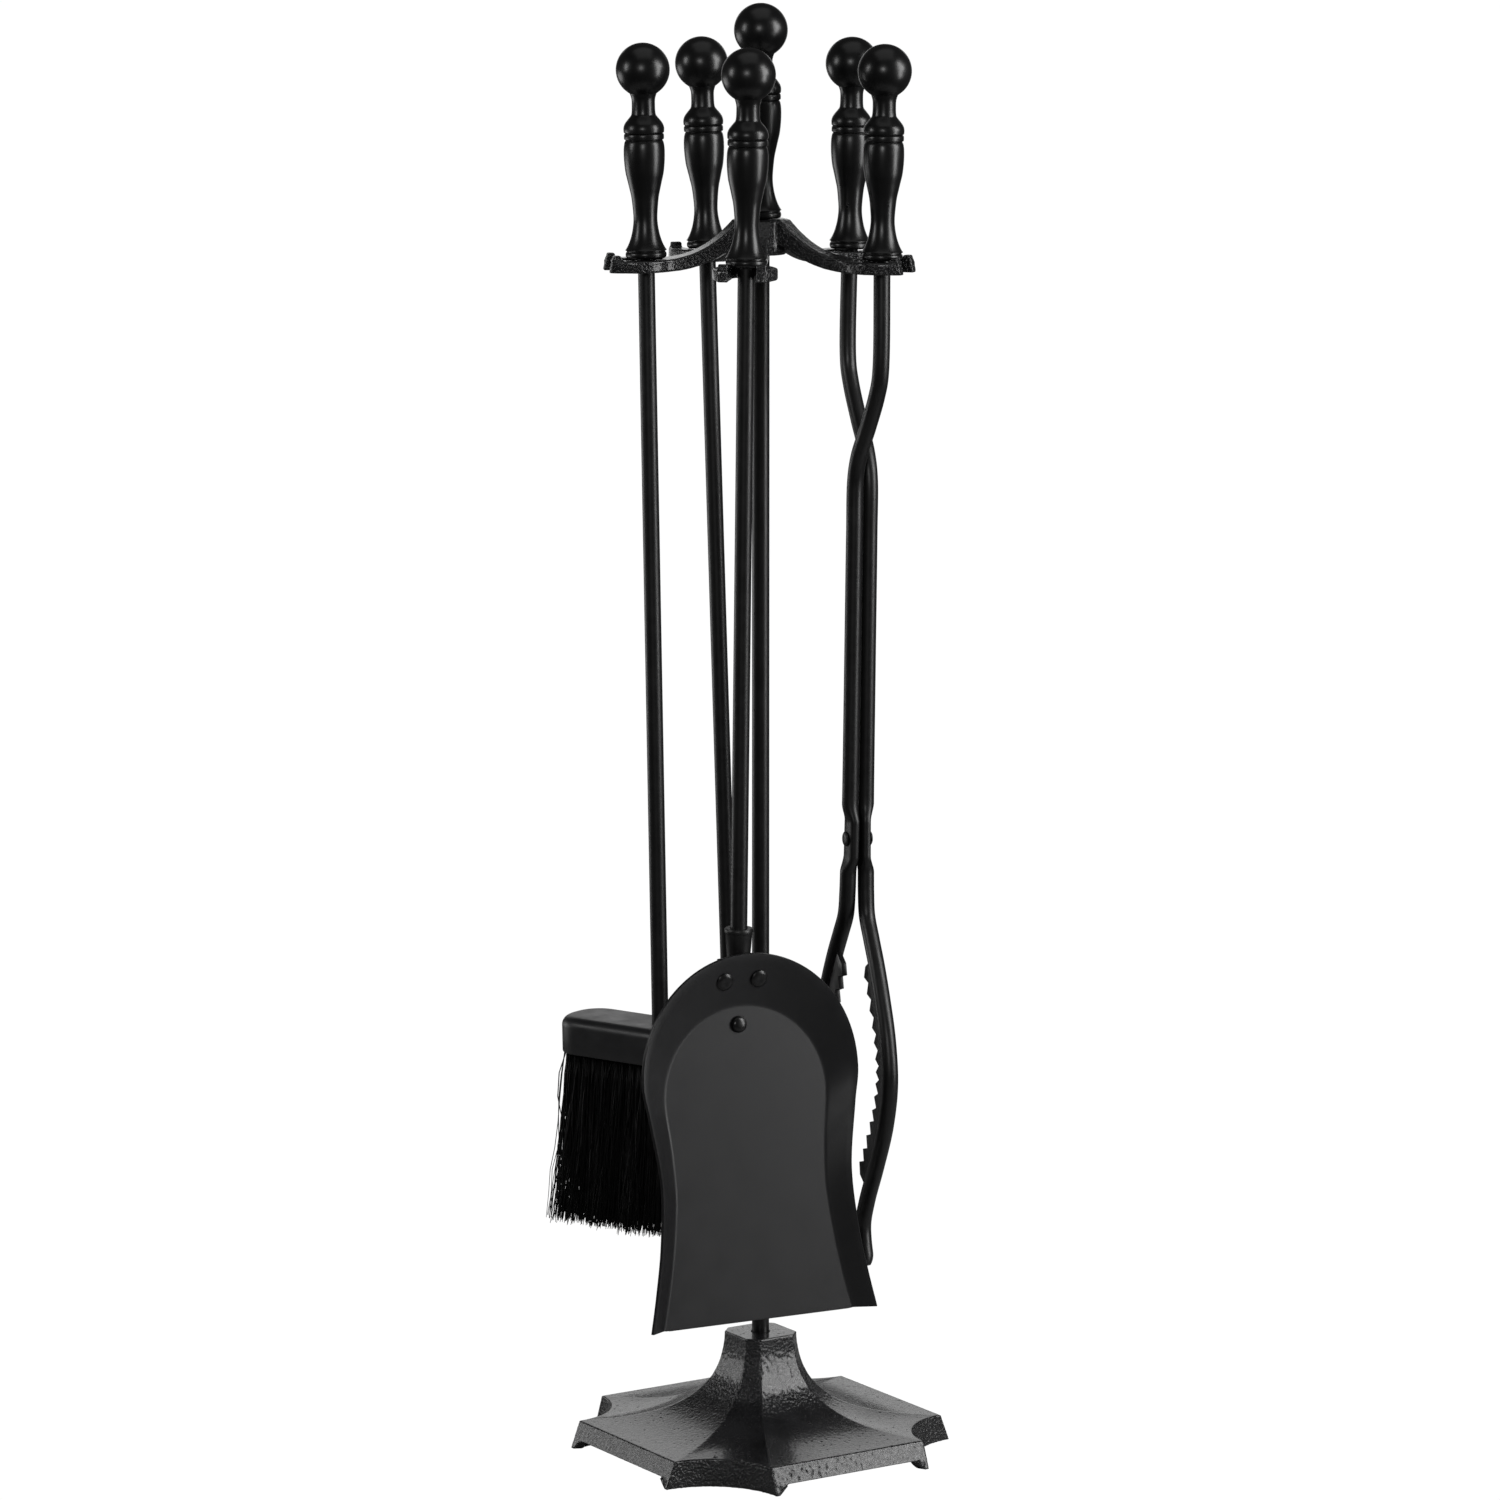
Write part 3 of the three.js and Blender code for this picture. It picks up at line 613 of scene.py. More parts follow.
placed("baseCasting", baseMesh(), iron, "stand", "hammered_iron", "base_casting")
print("base cast")


rack = {
    "turn": -33,  # of the whole rack against the base's sides, in degrees
    "arms": {"shovel": -97, "brush": -169, "poker": 118, "tongsBack": 45.5, "tongsFront": -20.5},
    "reach": 83.5,
    "slotWidth": 14.8,
    "slotEnd": 60.6,  # centre of the slot's round end, from the pole
    "thickness": 6.6,
    "hubRise": 20.5,
    "hubLength": 19.1,
    "hubRadius": 13.9,
    "lugHeight": 2.8,
    "lugLength": 4.4,
    # an arm seen from above: (share of the reach, half width)
    "plan": [(0, 8.2), (0.2, 7.6), (0.4, 7.4), (0.56, 9.4), (0.68, 14.6), (0.78, 17.2), (0.88, 16),
             (1, 12.7)],
    "edge": 1.1,  # rounding of an arm's long edges
    "tipSlant": 1.6,
    "hammer": (0.07, 0.03),  # height of the coarse and the fine hammering
    "skin": 0.07,  # taken off all over, so that the hammering stays inside
    "voxel": 0.5,
    "smoothing": 3,
}


def rackArm():
    plan = flowing([(x, y, 0) for x, y in rack["plan"]], 9, even=True)
    flatFrom = rack["reach"] * 0.7
    root = 4  # inside the hub
    rings = []
    for i, point in enumerate(plan):
        radius = root + (rack["reach"] - root) * point.x
        width = point.y
        rise = [clamped((flatFrom - r) / (flatFrom - rack["hubRadius"])) ** 2.5 for r in (radius, radius + 2)]
        top = (rack["hubRise"] - 0.4) * rise[0]
        bottom = (rack["hubRise"] - 4.5) * rise[1] - rack["thickness"]
        slant = rack["tipSlant"] if i == len(plan) - 1 else 0
        ring = []
        edge = rack["edge"]
        for corner, (across, z) in enumerate(((1, 1), (-1, 1), (-1, -1), (1, -1))):
            for k in range(4):
                turn = (corner + k / 3) * math.pi / 2
                y = across * (width - edge) + edge * math.cos(turn)
                height = (top if z > 0 else bottom) - z * edge + edge * math.sin(turn)
                back = slant * (height - bottom) / (top - bottom)
                ring.append(Vector((radius - back, y, height)))
        rings.append(ring)
    arm = loose("arm", lofted(rings))
    reach, lug = rack["reach"], rack["lugHeight"]
    lugStart = reach - rack["lugLength"]
    outline = [(lugStart - 3, -1), (lugStart - 1.4, lug), (reach - 2.2, lug), (reach - 1.4, -1)]
    wide = rack["plan"][-1][1]
    lugs = loose("lug", lofted([[Vector((x, y, z)) for x, z in outline] for y in (-wide, wide)]))
    both = joined("arm", [arm, lugs])
    both.modifiers.new("oneSkin", "REMESH").voxel_size = rack["voxel"]
    slotHalf, end = rack["slotWidth"] / 2, rack["slotEnd"]
    outline = [Vector((end + slotHalf * math.cos(a), slotHalf * math.sin(a), 0))
               for a in (math.pi / 2 + math.pi * k / 24 for k in range(25))]
    outline += [Vector((reach + 9, -slotHalf, 0)), Vector((reach + 9, slotHalf, 0))]
    slot = loose("slot", lofted([[p + Vector((0, 0, z)) for p in outline] for z in (-20, 20)]))
    cut = both.modifiers.new("slot", "BOOLEAN")
    cut.operation = "DIFFERENCE"
    cut.solver = "EXACT"
    cut.object = slot
    bpy.context.view_layer.update()
    mesh = settle(both)
    bpy.data.objects.remove(slot)
    return mesh


def rackMesh():
    arm = rackArm()
    items = []
    for angle in rack["arms"].values():
        copy = bpy.data.objects.new("arm", arm.copy())
        copy.data.transform(Matrix.Rotation(math.radians(angle), 4, "Z"))
        scene.collection.objects.link(copy)
        items.append(copy)
    top = rack["hubRise"]
    low = top - rack["hubLength"]
    radius = rack["hubRadius"]
    items.append(loose("hub", spun([(0, low), (radius - 1, low), (radius + 0.6, low + 2), (radius, top - 1),
                                    (radius - 1, top), (0, top)], 80)))

    def pits(place, normal):
        coarse, fine = rack["hammer"]
        return noise.noise(place * 0.5) * coarse + noise.noise(place * 1.2) * fine - rack["skin"]

    mesh = cast(joined("rackCasting", items), rack["voxel"], rack["smoothing"], pits)
    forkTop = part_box("rack_casting")[1].z - rack["hubRise"] * mm
    return moved(mesh, standFrame(forkTop, rack["turn"]))


placed("rackCasting", rackMesh(), iron, "stand", "hammered_iron", "rack_casting")
print("rack cast")


# the turned handles
grip = {
    "length": 113.7,
    "ball": 14.3,
    # (radius, height over the flange's foot), each run smooth, with a crisp line between runs
    "runs": [
        [(10, 0), (10.7, 0.7), (10.9, 1.9), (10.7, 2.9), (10.25, 3.4)],
        [(10.25, 3.4), (10.25, 3.8)],
        [(10.25, 3.8), (11, 4.2), (10.4, 5.1), (9.1, 7.6), (7.7, 11.6), (6.75, 16.2), (6.35, 20.8),
         (6.75, 27.4), (7.4, 32.9), (8.2, 36.6), (9.1, 40.6), (10.1, 45), (10.75, 51), (10.9, 55.8),
         (10.75, 59), (10.3, 61.4), (9.7, 62.5)],
        [(9.7, 62.5), (10.5, 62.9), (10.62, 63.8), (10.62, 64.6), (10.45, 65.5), (9.95, 66)],
        [(9.95, 66), (10.6, 66.4), (10.8, 67.6), (10.75, 69), (10.2, 70.8), (9, 72.6), (7.5, 74.4),
         (6.6, 75.6), (6.3, 77), (6.15, 81), (6.3, 84.2), (7.1, 86.9)],
    ],
}


def gripProfile():
    profile = [(0, 1.2), (4.8, 1.2), (4.8, 0)]
    for run in grip["runs"]:
        for p in flowing([(r, h, 0) for r, h in run], 4):
            if abs(profile[-1][0] - p.x) + abs(profile[-1][1] - p.y) > 1e-5:
                profile.append((p.x, p.y))
    centre = grip["length"] - grip["ball"]
    start = math.asin(profile[-1][0] / grip["ball"])
    steps = 26
    for i in range(1, steps + 1):
        angle = start + (math.pi - start) * i / steps
        radius = 0 if i == steps else grip["ball"] * math.sin(angle)
        profile.append((radius, centre - grip["ball"] * math.cos(angle)))
    return profile


handles = {
    "stand_handle": "stand",
    "brush_handle": "brush",
    "poker_handle": "poker",
    "shovel_handle": "shovel",
    "tongs_handle_back": "tongs_back",
    "tongs_handle_front": "tongs_front",
}
for handleNode, body in handles.items():
    turnedGrip = meshFrom(handleNode + "Turned", *spun(gripProfile(), 72), toolFrame(handleNode), 28)
    placed(handleNode + "Turned", turnedGrip, satin, body, "satin_black", handleNode)
print("handles turned")


rods = {
    "radius": 4.5,
    "pole": 4.7,
    "chamfer": 0.5,
    "intoHandle": 0.8,
}


def rodProfile(low, high, radius):
    edge = rods["chamfer"]
    return [(0, low), (radius - edge, low), (radius, low + edge),
            (radius, high - edge), (radius - edge, high), (0, high)]


def rodBelow(handleNode, rodNode):
    # how far the rod's visible end is under its handle, in millimetres
    flange, _, up = axisOf(handleNode)
    return min((Vector(p) - flange) @ up for p in nodePoints(rodNode)) / mm


def hangingRod(name, handleNode, low):
    profile = rodProfile(low, rods["intoHandle"], rods["radius"])
    return meshFrom(name, *spun(profile, 48), toolFrame(handleNode))


poleProfile = rodProfile((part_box("base_casting")[1].z - poleLow.z) / mm - 3, (poleHigh.z - poleLow.z) / mm,
                         rods["pole"])
poleFrame = Matrix.Translation(poleLow) @ Matrix.Scale(mm, 4)
poleMesh = meshFrom("poleBar", *spun(poleProfile, 48), poleFrame)
placed("poleBar", poleMesh, rodPaint, "stand", "satin_black", "pole")

brushRodLow = rodBelow("brush_handle", "brush_rod")
placed("brushRodBar", hangingRod("brushRodBar", "brush_handle", brushRodLow), rodPaint, "brush",
       "satin_black", "brush_rod")
shovelRodLow = rodBelow("shovel_handle", "shovel_rod")
placed("shovelRodBar", hangingRod("shovelRodBar", "shovel_handle", shovelRodLow), rodPaint, "shovel",
       "satin_black", "shovel_rod")
print("rods drawn")


poker = {
    "tipLength": 34,
    "hookHeight": 52,
    "hookTurn": 25,
    "hook": [(22, 6), (33, -4), (36, -26)],  # (out, up) from where the hook leaves the rod
    "pointRadius": 0.9,  # of the blunt tip and of the hook's end
}


def pokerBar():
    tip = rodBelow("poker_handle", "poker_rod")
    radius = rods["radius"]
    point = poker["pointRadius"]
    profile = [(0, tip), (point - 0.2, tip + 0.4)]
    steps = 10
    for i in range(1, steps + 1):
        share = i / steps
        out = point + (radius - point) * math.sin(share * math.pi / 2)
        profile.append((out, tip + poker["tipLength"] * share))
    high = rods["intoHandle"]
    return profile + [(radius, high - rods["chamfer"]), (radius - rods["chamfer"], high), (0, high)]


def pokerHorn():
    start = rodBelow("poker_handle", "poker_rod") + poker["hookHeight"]
    steps, sides = 30, 24
    corners = ((rods["radius"] - 1.5, start), *((out, start + up) for out, up in poker["hook"]))
    line = [Vector((*bezier(*corners, i / steps), 0)) for i in range(steps + 1)]
    root = rods["radius"] * 0.86
    rings = []
    for i, here in enumerate(line):
        ahead = (line[min(i + 1, steps)] - line[max(i - 1, 0)]).normalized()
        thick = root + (poker["pointRadius"] - root) * (i / steps) ** 1.4
        if i == steps:
            thick = 0.25
        rings.append([Vector((here.x - thick * math.cos(a) * ahead.y, thick * math.sin(a),
                              here.y + thick * math.cos(a) * ahead.x))
                      for a in (math.tau * k / sides for k in range(sides))])
    return lofted(rings)


barMesh = meshFrom("pokerBar", *spun(pokerBar(), 48), toolFrame("poker_handle"))
hornMesh = meshFrom("pokerHorn", *pokerHorn(), toolFrame("poker_handle", poker["hookTurn"]))
placed("pokerBar", barMesh, rodPaint, "poker", "satin_black", "poker_rod")
placed("pokerHorn", hornMesh, rodPaint, "poker", "satin_black", "poker_hook")
print("poker forged")


pan = {
    "length": 196.5,
    "half": 64.5,
    "wallSpread": 15.5,
    "wallRise": 8,
    "backSpread": 27.5,
    "backRise": 10,
    "thickness": 1.6,
    "pitch": 8.5,
    "turn": 28,
    "behindRod": 0.5,
    "belowRod": 1.3,  # from the rod's end to the back of the rim
    "rim": [(0.43, 0.953), (0.6, 0.882), (0.76, 0.91), (0.89, 0.975), (1, 1.045)],
    "floor": [(0.53, 0.945), (0.66, 0.935), (0.81, 1.01), (0.93, 1.105), (1, 1.175)],
    "fold": 1.3,  # half width of the rounded crease between floor and wall
    "rivets": {"pan_rivet_left": (-11.9, 14), "pan_rivet_right": (8.9, 14), "pan_rivet_lower": (-2.2, 37.7)},
    # rivet heads: (radius, height)
    "wallHead": [(4.9, 0.1), (4.8, 0.8), (4.2, 1.3), (3.1, 1.62), (1.9, 1.7), (0.9, 1.5), (0, 1.4)],
    "floorHead": [(4.6, 0.1), (4.5, 0.9), (4, 1.8), (3.1, 2.45), (1.7, 2.75), (0, 2.8)],
    "tongue": 32,
    "tongueThickness": 2.4,
    # (radius, height over the back of the rim)
    "socket": [(0, -5), (5.7, -5), (6.2, -4.5), (6.4, 0), (6.8, 5), (7.15, 10.9), (7.3, 11.4), (7.7, 11.7),
               (7.8, 12.4), (7.7, 13.5), (7.3, 14), (5, 14), (4.7, 13.6), (4.7, 4), (0, 4)],
}
panTop = shovelRodLow - pan["belowRod"]
headFrame = toolFrame("shovel_handle", pan["turn"]) @ Matrix.Translation((0, 0, panTop))
panTilt = Matrix.Translation((0, pan["behindRod"], 0)) @ Matrix.Rotation(math.radians(-pan["pitch"]), 4, "X")
panFrame = headFrame @ panTilt


def panOutline(sides, half, top):
    # (across, distance from the back) from the mouth's left end over the back to its right end
    centre = top + half
    lead = (half * 0.94, centre - half * 0.34, 0)  # keeps the start in line with the round back
    sideSteps, steps = 14, 64
    side = [lead, (half, centre, 0)] + [(w * half, s * pan["length"], 0) for s, w in sides]
    side = flowing(side, sideSteps, even=True)[sideSteps:]
    back = [Vector((-half * math.cos(a), centre - half * math.sin(a), 0))
            for a in (math.pi * k / steps for k in range(1, steps))]
    return [Vector((-p.x, p.y, 0)) for p in reversed(side)] + back + side


def panMesh():
    floorHalf = pan["half"] - pan["wallSpread"]
    crease = panOutline(pan["floor"], floorHalf, pan["backSpread"])
    rim = panOutline(pan["rim"], pan["half"], 0)
    last = len(crease) - 1
    rings = []
    for i, (c, r) in enumerate(zip(crease, rim)):
        rise = pan["backRise"] + (pan["wallRise"] - pan["backRise"]) * eased(r.y, 0, pan["half"])
        low = Vector((c.x, 0, -c.y))
        high = Vector((r.x, -rise, -r.y))
        along = crease[min(i + 1, last)] - crease[max(i - 1, 0)]
        inward = Vector((-along.y, 0, -along.x)).normalized()
        if i in (0, last):
            inward = Vector((-math.copysign(1, c.x), 0, 0))
        if (Vector((0, 0, -pan["length"] * 0.6)) - low) @ inward < 0:
            inward = -inward
        wall = (high - low).normalized()
        fold = pan["fold"]
        row = [high, high.lerp(low, 0.25), high.lerp(low, 0.5),
               low + wall * (fold + 1.6), low + wall * fold, low + wall * fold * 0.42 + inward * fold * 0.1,
               low + inward * fold * 0.42, low + inward * fold, low + inward * (fold + 2.2)]
        row[5].y -= 0.02  # keeps the fold round
        if i in (0, last):
            for flat in row[5:]:
                flat.z = low.z
        rings.append(row)
    count = len(rings[0])
    points = [p for row in rings for p in row]
    faces = []
    for i in range(last):
        for k in range(count - 1):
            a, b = i * count + k, (i + 1) * count + k
            faces.append((a, a + 1, b + 1, b))
    inner = [i * count + count - 1 for i in range(len(rings))]
    for i in range(last // 2):
        faces.append(tuple(dict.fromkeys((inner[i], inner[last - i], inner[last - i - 1], inner[i + 1]))))
    item = loose("shovelPanSheet", (points, faces))
    thick = item.modifiers.new("sheet", "SOLIDIFY")
    thick.thickness = pan["thickness"]
    thick.offset = 1 if item.data.polygons[-1].normal.y > 0 else -1
    thick.use_even_offset = True
    bevel(item, 0.35, 2, 55)
    return creased(moved(settle(item), panFrame), 40)


placed("shovelPanSheet", panMesh(), sheet, "shovel", "pan_sheet", "shovel_pan")


def rivetMesh(name):
    across, s = pan["rivets"][name]
    onWall = s < pan["backSpread"]
    slope = math.atan2(pan["backRise"], pan["backSpread"]) if onWall else 0
    floorHalf = pan["half"] - pan["wallSpread"]
    fall = floorHalf - math.sqrt(floorHalf ** 2 - across ** 2)
    out = (pan["backSpread"] + fall - s) * math.tan(slope) if onWall else 0
    back = -5.2
    dome = pan["wallHead" if onWall else "floorHead"]
    profile = [(0, back), (2.2, back), (3.2, back + 0.5), (3.5, back + 1.3), (2, back + 1.3), (2, 0.1), *dome]
    place = (panFrame @ Matrix.Translation((across, -out, -s))
             @ Matrix.Rotation(math.pi / 2 + slope, 4, "X"))
    return meshFrom(name + "Dome", *spun(profile, 36), place)


for rivetNode in pan["rivets"]:
    placed(rivetNode + "Dome", rivetMesh(rivetNode), satin, "shovel", "satin_black", rivetNode)


def tongueItem():
    # the bent strip behind the pan that the rivets go through
    slope = (pan["backRise"] + pan["thickness"]) / pan["backSpread"]
    half = pan["tongue"] / 2
    across = (-1, -0.6, -0.2, 0.2, 0.6, 1)
    rows = []
    for s in (2, 4, 8, 14, 20, 23, 25.9, 28, 32, 38, 44, 48, 50):
        behind = min(pan["thickness"], (s + pan["thickness"]) * slope - pan["backRise"]) + 0.3
        narrow = half - 4 * eased(s, 44, 50)
        rows.append([Vector((narrow * x, behind, -s)) for x in across])
    points = [p for row in rows for p in row]
    count = len(across)
    faces = [(i, i + 1, i + 1 + count, i + count)
             for start in range(0, len(points) - count, count) for i in range(start, start + count - 1)]
    item = loose("tongue", (points, faces), panTilt)
    thick = item.modifiers.new("sheet", "SOLIDIFY")
    thick.thickness = pan["tongueThickness"]
    thick.offset = 1 if item.data.polygons[0].normal.y > 0 else -1
    bevel(item, 0.5, 3)
    return loose("tongueSolid", meshParts(settle(item)))


def meshParts(mesh):
    return [v.co.copy() for v in mesh.vertices], [tuple(p.vertices) for p in mesh.polygons]


def socketMesh():
    ferrule = loose("ferrule", spun(pan["socket"], 56))
    return creased(moved(settle(joined("shovelSocketFerrule", [ferrule, tongueItem()])), headFrame), 35)


placed("shovelSocketFerrule", socketMesh(), rodPaint, "shovel", "satin_black", "shovel_socket")
print("shovel pressed")


brush = {
    "turn": -38,
    "length": 125,
    "width": 38,
    "height": 20,
    "corner": 16.7,
    "edge": 5.4,  # rounding of the block's top edge
    "spigot": 7,  # from the block's underside to the end of the rod in it
    "fibres": 94,  # length below the block
    "rows": 5,
    "tufts": 17,
    "perTuft": 60,
    "tuftSize": 3.6,
    "rootInset": (8.8, 7.5),  # of the outer tufts, along and across the block
    "tuftLean": (2, 1.6),
    "bend": (2.2, 2.2),
    "wave": (1.5, 1.4),
    "flare": 7.2,  # how far the outermost fibres lean out at their ends
    "sideways": 11,  # the furthest that a fibre leans along the block
    "fibreRadius": 0.4,
    "ragged": 2.6,  # how much shorter some fibres are
}
brushFrame = toolFrame("brush_handle", brush["turn"])
blockLow = brushRodLow - brush["spigot"]


def roundedRing(length, width, radius, height, steps=10):
    ring = []
    for corner in range(4):
        along = (1 if corner in (0, 3) else -1) * (length / 2 - radius)
        across = (1 if corner < 2 else -1) * (width / 2 - radius)
        for i in range(steps + 1):
            angle = (corner + i / steps) * math.pi / 2
            ring.append(Vector((along + radius * math.cos(angle), across + radius * math.sin(angle), height)))
    return ring


def blockMesh():
    rings = []
    tall, radius = brush["height"], brush["corner"]
    levels = [(0.7, 0), (0.2, 0.2), (0, 0.7), (0, tall * 0.4)]
    bulge = brush["edge"]
    levels += [(bulge * (1 - math.cos(a)), tall - bulge + bulge * math.sin(a))
               for a in (math.pi / 2 * k / 9 for k in range(10))]
    levels += [(bulge + 3, tall), (bulge + 7, tall)]
    for inset, up in levels:
        rings.append(roundedRing(brush["length"] - 2 * inset, brush["width"] - 2 * inset,
                                 max(radius - inset, 0.8), blockLow + up))
    return meshFrom("brushBlockBody", *lofted(rings), brushFrame, 50)


placed("brushBlockBody", blockMesh(), blockPaint, "brush", "block_grey", "brush_block")


def bristleMesh():
    # every fibre is a thin three-sided bar that bends outwards, set in tufts
    draw = random.Random(7)
    points, faces = [], []
    levels = 7
    halfLength = brush["length"] / 2 - brush["rootInset"][0]
    halfWidth = brush["width"] / 2 - brush["rootInset"][1]
    furthest = brush["length"] / 2 + 1.8
    sunk = 0.5  # into the block

    def scatter(spread):
        return Vector((draw.gauss(0, spread[0]), draw.gauss(0, spread[1]), 0))

    for row in range(brush["rows"]):
        across = (row / (brush["rows"] - 1) * 2 - 1) * halfWidth
        shift = 0.5 if row % 2 else 0
        for tuft in range(brush["tufts"]):
            along = ((tuft + shift) / (brush["tufts"] - 0.5) * 2 - 1) * halfLength
            lean = scatter(brush["tuftLean"])
            for _ in range(brush["perTuft"]):
                spread = draw.uniform(0, math.tau)
                out = brush["tuftSize"] * math.sqrt(draw.random())
                x = along + out * math.cos(spread)
                y = across + out * math.sin(spread)
                root = Vector((x, y, blockLow + sunk))
                reach = brush["fibres"] + sunk - abs(draw.gauss(0, brush["ragged"]))
                flare = Vector((root.x / halfLength, root.y / halfWidth, 0)) * brush["flare"]
                tipAside = flare + lean + scatter(brush["bend"])
                tipAside.x = clamped(tipAside.x, -brush["sideways"], brush["sideways"])
                wave = scatter(brush["wave"])
                turns = draw.uniform(1, 3)
                start = len(points)
                for level in range(levels + 1):
                    share = level / levels
                    middle = (root + tipAside * share ** 1.25 + wave * math.sin(share * math.pi * turns)
                              - Vector((0, 0, reach * share)))
                    middle.x = clamped(middle.x, -furthest, furthest)
                    thick = brush["fibreRadius"] * (1 - 0.55 * share)
                    for k in range(3):
                        angle = spread + k * math.tau / 3
                        points.append(middle + Vector((thick * math.cos(angle), thick * math.sin(angle), 0)))
                for level in range(levels):
                    for k in range(3):
                        a = start + level * 3 + k
                        b = start + level * 3 + (k + 1) % 3
                        faces.append((a, a + 3, b + 3, b))
                faces.append((start, start + 1, start + 2))
                faces.append((start + levels * 3 + 2, start + levels * 3 + 1, start + levels * 3))
    return meshFrom("brushFibres", points, faces, brushFrame, 180)


placed("brushFibres", bristleMesh(), fibre, "brush", "bristle", "brush_bristles")
print("brush tufted")


tongs = {
    "straight": 61,  # from the handle's flange to the upper bend
    "jaw": 236,  # from the rivet to the arms' ends
    "bow": 42,
    "pitch": 9.5,
    "flat": 6.3,
    "rivetRadius": 2.5,
    "teeth": 14,
    "stripHeight": 8.8,
    "toothHeight": 4.7,
    "strip": 3,
    "stripRun": (-195, -62),  # heights at the strip's ends, over the rivet
    "rivetHead": [(4.1, 0), (4.05, 0.35), (3.4, 0.8), (2.2, 1.05), (0, 1.15)],  # (radius, height)
}
rivetPoints = nodePoints("tongs_rivet")
rivetCentre = Vector((rivetPoints.min(axis=0) + rivetPoints.max(axis=0)) / 2)


def tongsFrame(side):
    # the tongs' own millimetres: origin in the rivet, X to the front handle, Y along the rivet
    backLow, _, up = axisOf("tongs_handle_back")
    frontLow, _, _ = axisOf("tongs_handle_front")
    rivetLine = Vector(np.linalg.svd(rivetPoints - rivetPoints.mean(axis=0))[2][0])
    xAxis = frontLow - backLow
    xAxis = (xAxis - up * (xAxis @ up)).normalized()
    xAxis = (xAxis - rivetLine * (xAxis @ rivetLine)).normalized()
    yAxis = up.cross(xAxis).normalized()
    turn = Matrix((xAxis, yAxis, up)).transposed().to_4x4()
    flip = Matrix.Rotation(math.pi if side == "back" else 0, 4, "Z")
    return Matrix.Translation(rivetCentre) @ turn @ flip @ Matrix.Scale(mm, 4)


handlePlace = tongsFrame("front").inverted() @ axisOf("tongs_handle_front")[0]


def armLine():
    top, spread = handlePlace.z, handlePlace.x
    bow, jaw = tongs["bow"], tongs["jaw"]
    bend = top - tongs["straight"]
    # (height over the rivet, distance out, share of the flat at the rivet)
    return flowing([(x, flat, z) for z, x, flat in [
        (top, spread, 0), (bend, spread, 0), (bend - 12, spread - 5, 0), (bend - 30, spread / 2 + 1, 0),
        (bend - 47, 6.5, 0), (bend - 60, 1.8, 0), (bend - 90, 1.2, 0), (100, 1, 0), (19, 0.6, 0),
        (10, 0.3, 1), (0, 0, 1), (-10, -0.4, 1), (-18, -1, 0), (-30, -1.7, 0), (-42, -3.6, 0),
        (-54, -bow * 0.26, 0), (-67, -bow * 0.46, 0), (-84, -bow * 0.68, 0), (-105, -bow * 0.9, 0),
        (-128, -bow, 0), (-152, -bow * 0.87, 0), (-178, -bow * 0.55, 0), (-200, -bow * 0.24, 0),
        (22 - jaw, -4.6, 0), (12 - jaw, -6, 0), (-jaw, -11, 0),
    ]], 10)


def armMesh(name, side):
    line = armLine()
    rings = []
    radius = rods["radius"]
    inner = tongs["pitch"] / 2 - radius
    last = len(line) - 1
    tip, sides = 5, 28
    for i, here in enumerate(line):
        ahead = line[min(i + 1, last)] - line[max(i - 1, 0)]
        ahead = Vector((ahead.x, 0, ahead.z)).normalized()
        pressed = clamped(here.y)
        thick = (radius * 2 + (tongs["flat"] - radius * 2) * pressed) / 2
        wide = radius * (1 + 0.45 * pressed)
        if i > last - tip:
            narrowing = ((i - last + tip) / tip) ** 2
            wide *= 1 - 0.4 * narrowing
            thick *= 1 - 0.25 * narrowing
        square = 1 - 0.45 * pressed
        ring = []
        for k in range(sides):
            angle = math.tau * k / sides
            c, s = math.cos(angle), math.sin(angle)
            out = wide * c
            deep = thick * math.copysign(abs(s) ** square, s)
            ring.append(Vector((here.x + out * ahead.z, -(inner + thick + deep), here.z - out * ahead.x)))
        rings.append(ring)
    for p in rings[0]:
        p.z += 0.8
    return meshFrom(name, *lofted(rings), tongsFrame(side))


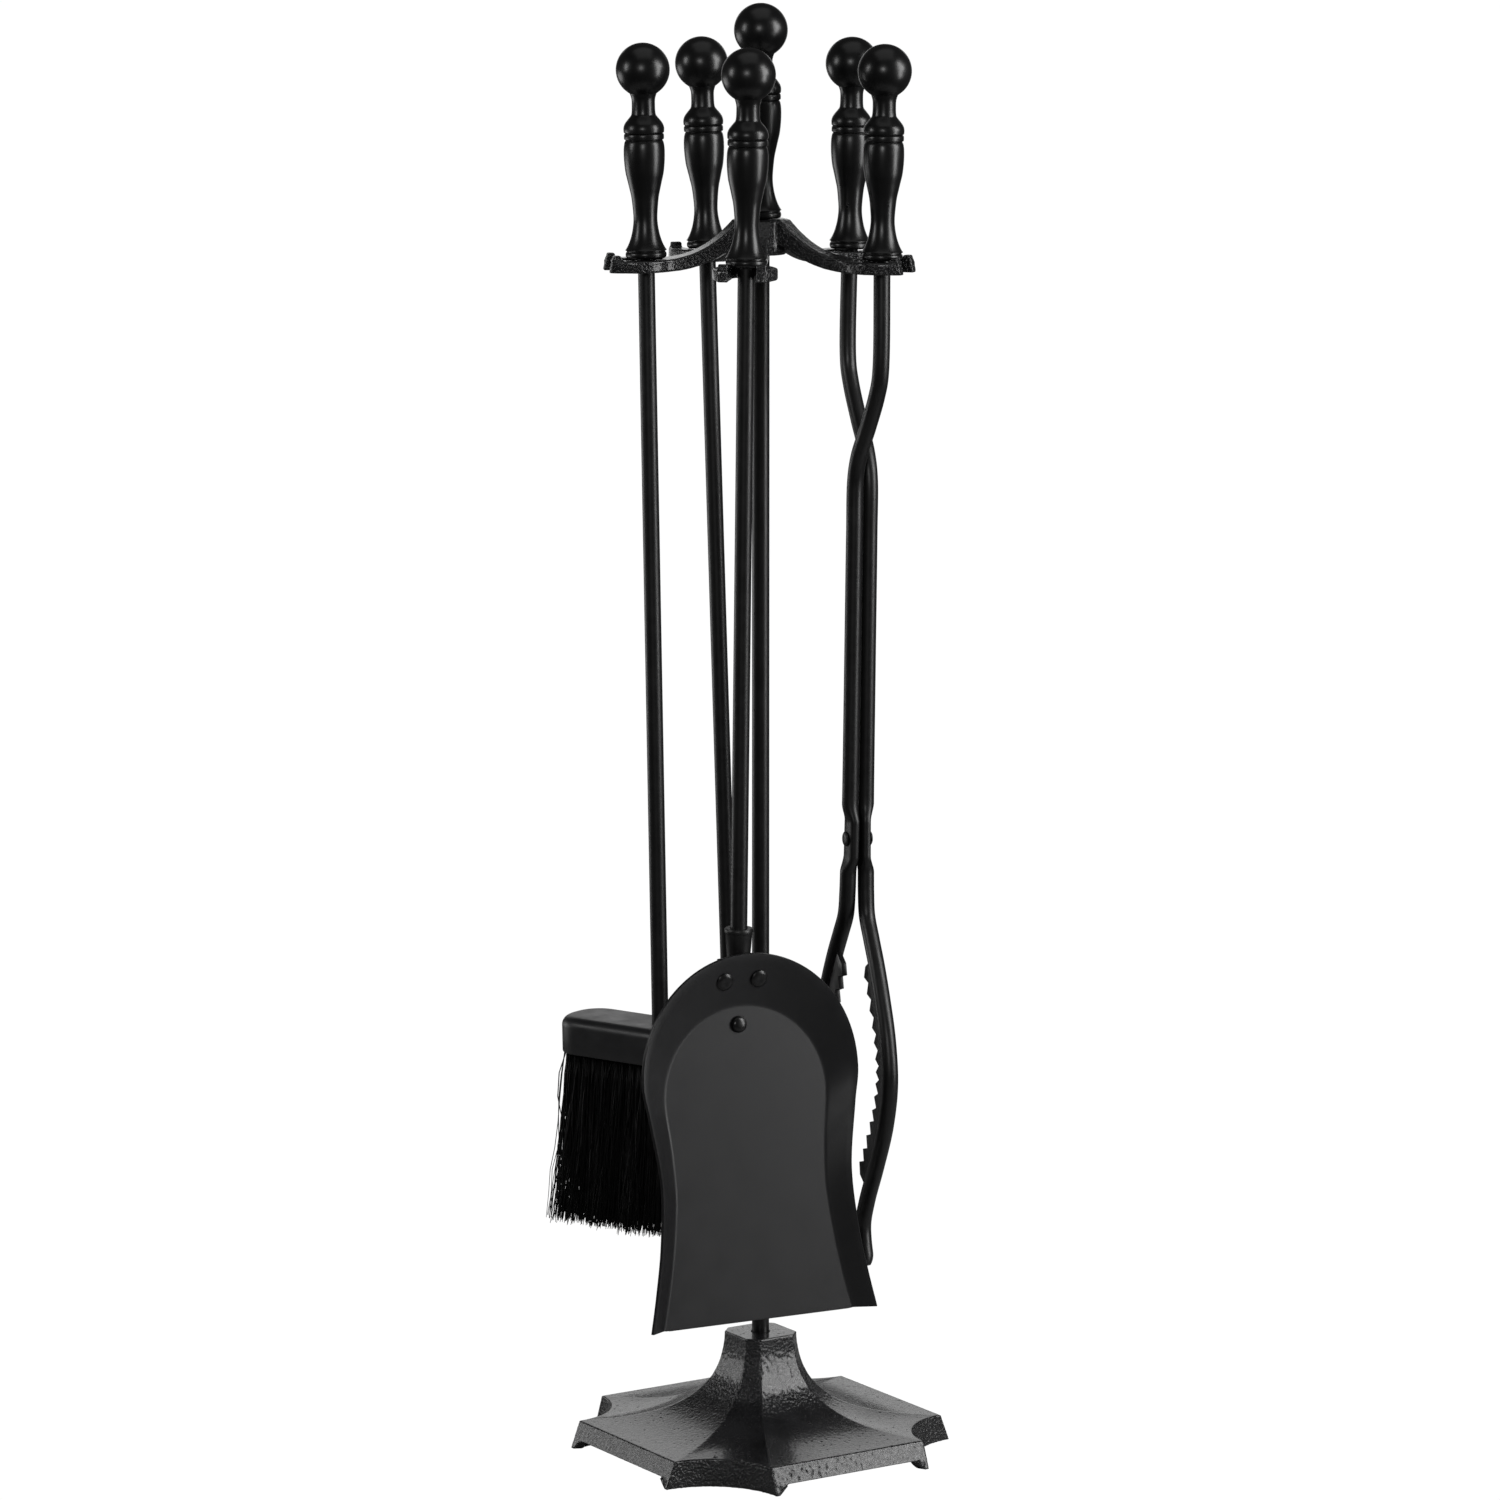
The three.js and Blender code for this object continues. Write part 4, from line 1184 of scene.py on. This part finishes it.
def stripMesh(name, side):
    low, high = tongs["stripRun"]
    line = [p for p in armLine() if low < p.z < high]
    lengths = [0]
    for a, b in zip(line, line[1:]):
        lengths.append(lengths[-1] + (b - a).length)

    def spot(share, out):
        want = share * lengths[-1]
        i = min(max(k for k, v in enumerate(lengths) if v <= want + 1e-9), len(line) - 2)
        here = line[i].lerp(line[i + 1], (want - lengths[i]) / (lengths[i + 1] - lengths[i]))
        ahead = (line[i + 1] - line[i]).normalized()
        return Vector((here.x - out * ahead.z, 0, here.z + out * ahead.x))

    seatOut = rods["radius"] - 0.6
    root = rods["radius"] + tongs["stripHeight"]
    point = root + tongs["toothHeight"]
    rows = []
    step = 1 / tongs["teeth"]
    for i in range(tongs["teeth"]):
        gap, tip = i * step, (i + 0.5) * step
        rows += [(spot(gap, seatOut), spot(gap, root)), (spot(tip, seatOut), spot(tip, point))]
    rows.append((spot(1, seatOut), spot(1, root)))
    middle, half = -tongs["pitch"] / 2, tongs["strip"] / 2
    rings = []
    for seat, crest in rows:
        rings.append([Vector((seat.x, middle - half, seat.z)), Vector((seat.x, middle + half, seat.z)),
                      Vector((crest.x, middle + half, crest.z)), Vector((crest.x, middle - half, crest.z))])
    item = loose(name, lofted(rings))
    bevel(item, 0.25, 2, 40)
    return creased(moved(settle(item), tongsFrame(side)), 35)


for side in ("back", "front"):
    bar, strip = "tongsArmBar_" + side, "tongsTeethStrip_" + side
    placed(bar, armMesh(bar, side), rodPaint, "tongs_" + side, "satin_black", "tongs_arm_" + side)
    placed(strip, stripMesh(strip, side), rodPaint, "tongs_" + side, "satin_black", "tongs_teeth_" + side)


def tongsRivetMesh():
    outer = tongs["pitch"] / 2 - rods["radius"] + tongs["flat"] + 0.3
    dome = tongs["rivetHead"]
    profile = [(r, -outer - h) for r, h in reversed(dome)]
    profile += [(tongs["rivetRadius"], -outer), (tongs["rivetRadius"], outer)]
    profile += [(r, outer + h) for r, h in dome]
    across = Matrix.Rotation(-math.pi / 2, 4, "X")
    return meshFrom("tongsRivetPin", *spun(profile, 40), tongsFrame("front") @ across)


placed("tongsRivetPin", tongsRivetMesh(), rodPaint, "tongs_pin", "satin_black", "tongs_rivet")
print("tongs bent and riveted")

for kept in ("base_nut", "base_washer"):
    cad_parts[kept].data.materials.clear()
    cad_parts[kept].data.materials.append(oxide)

bpy.context.view_layer.update()
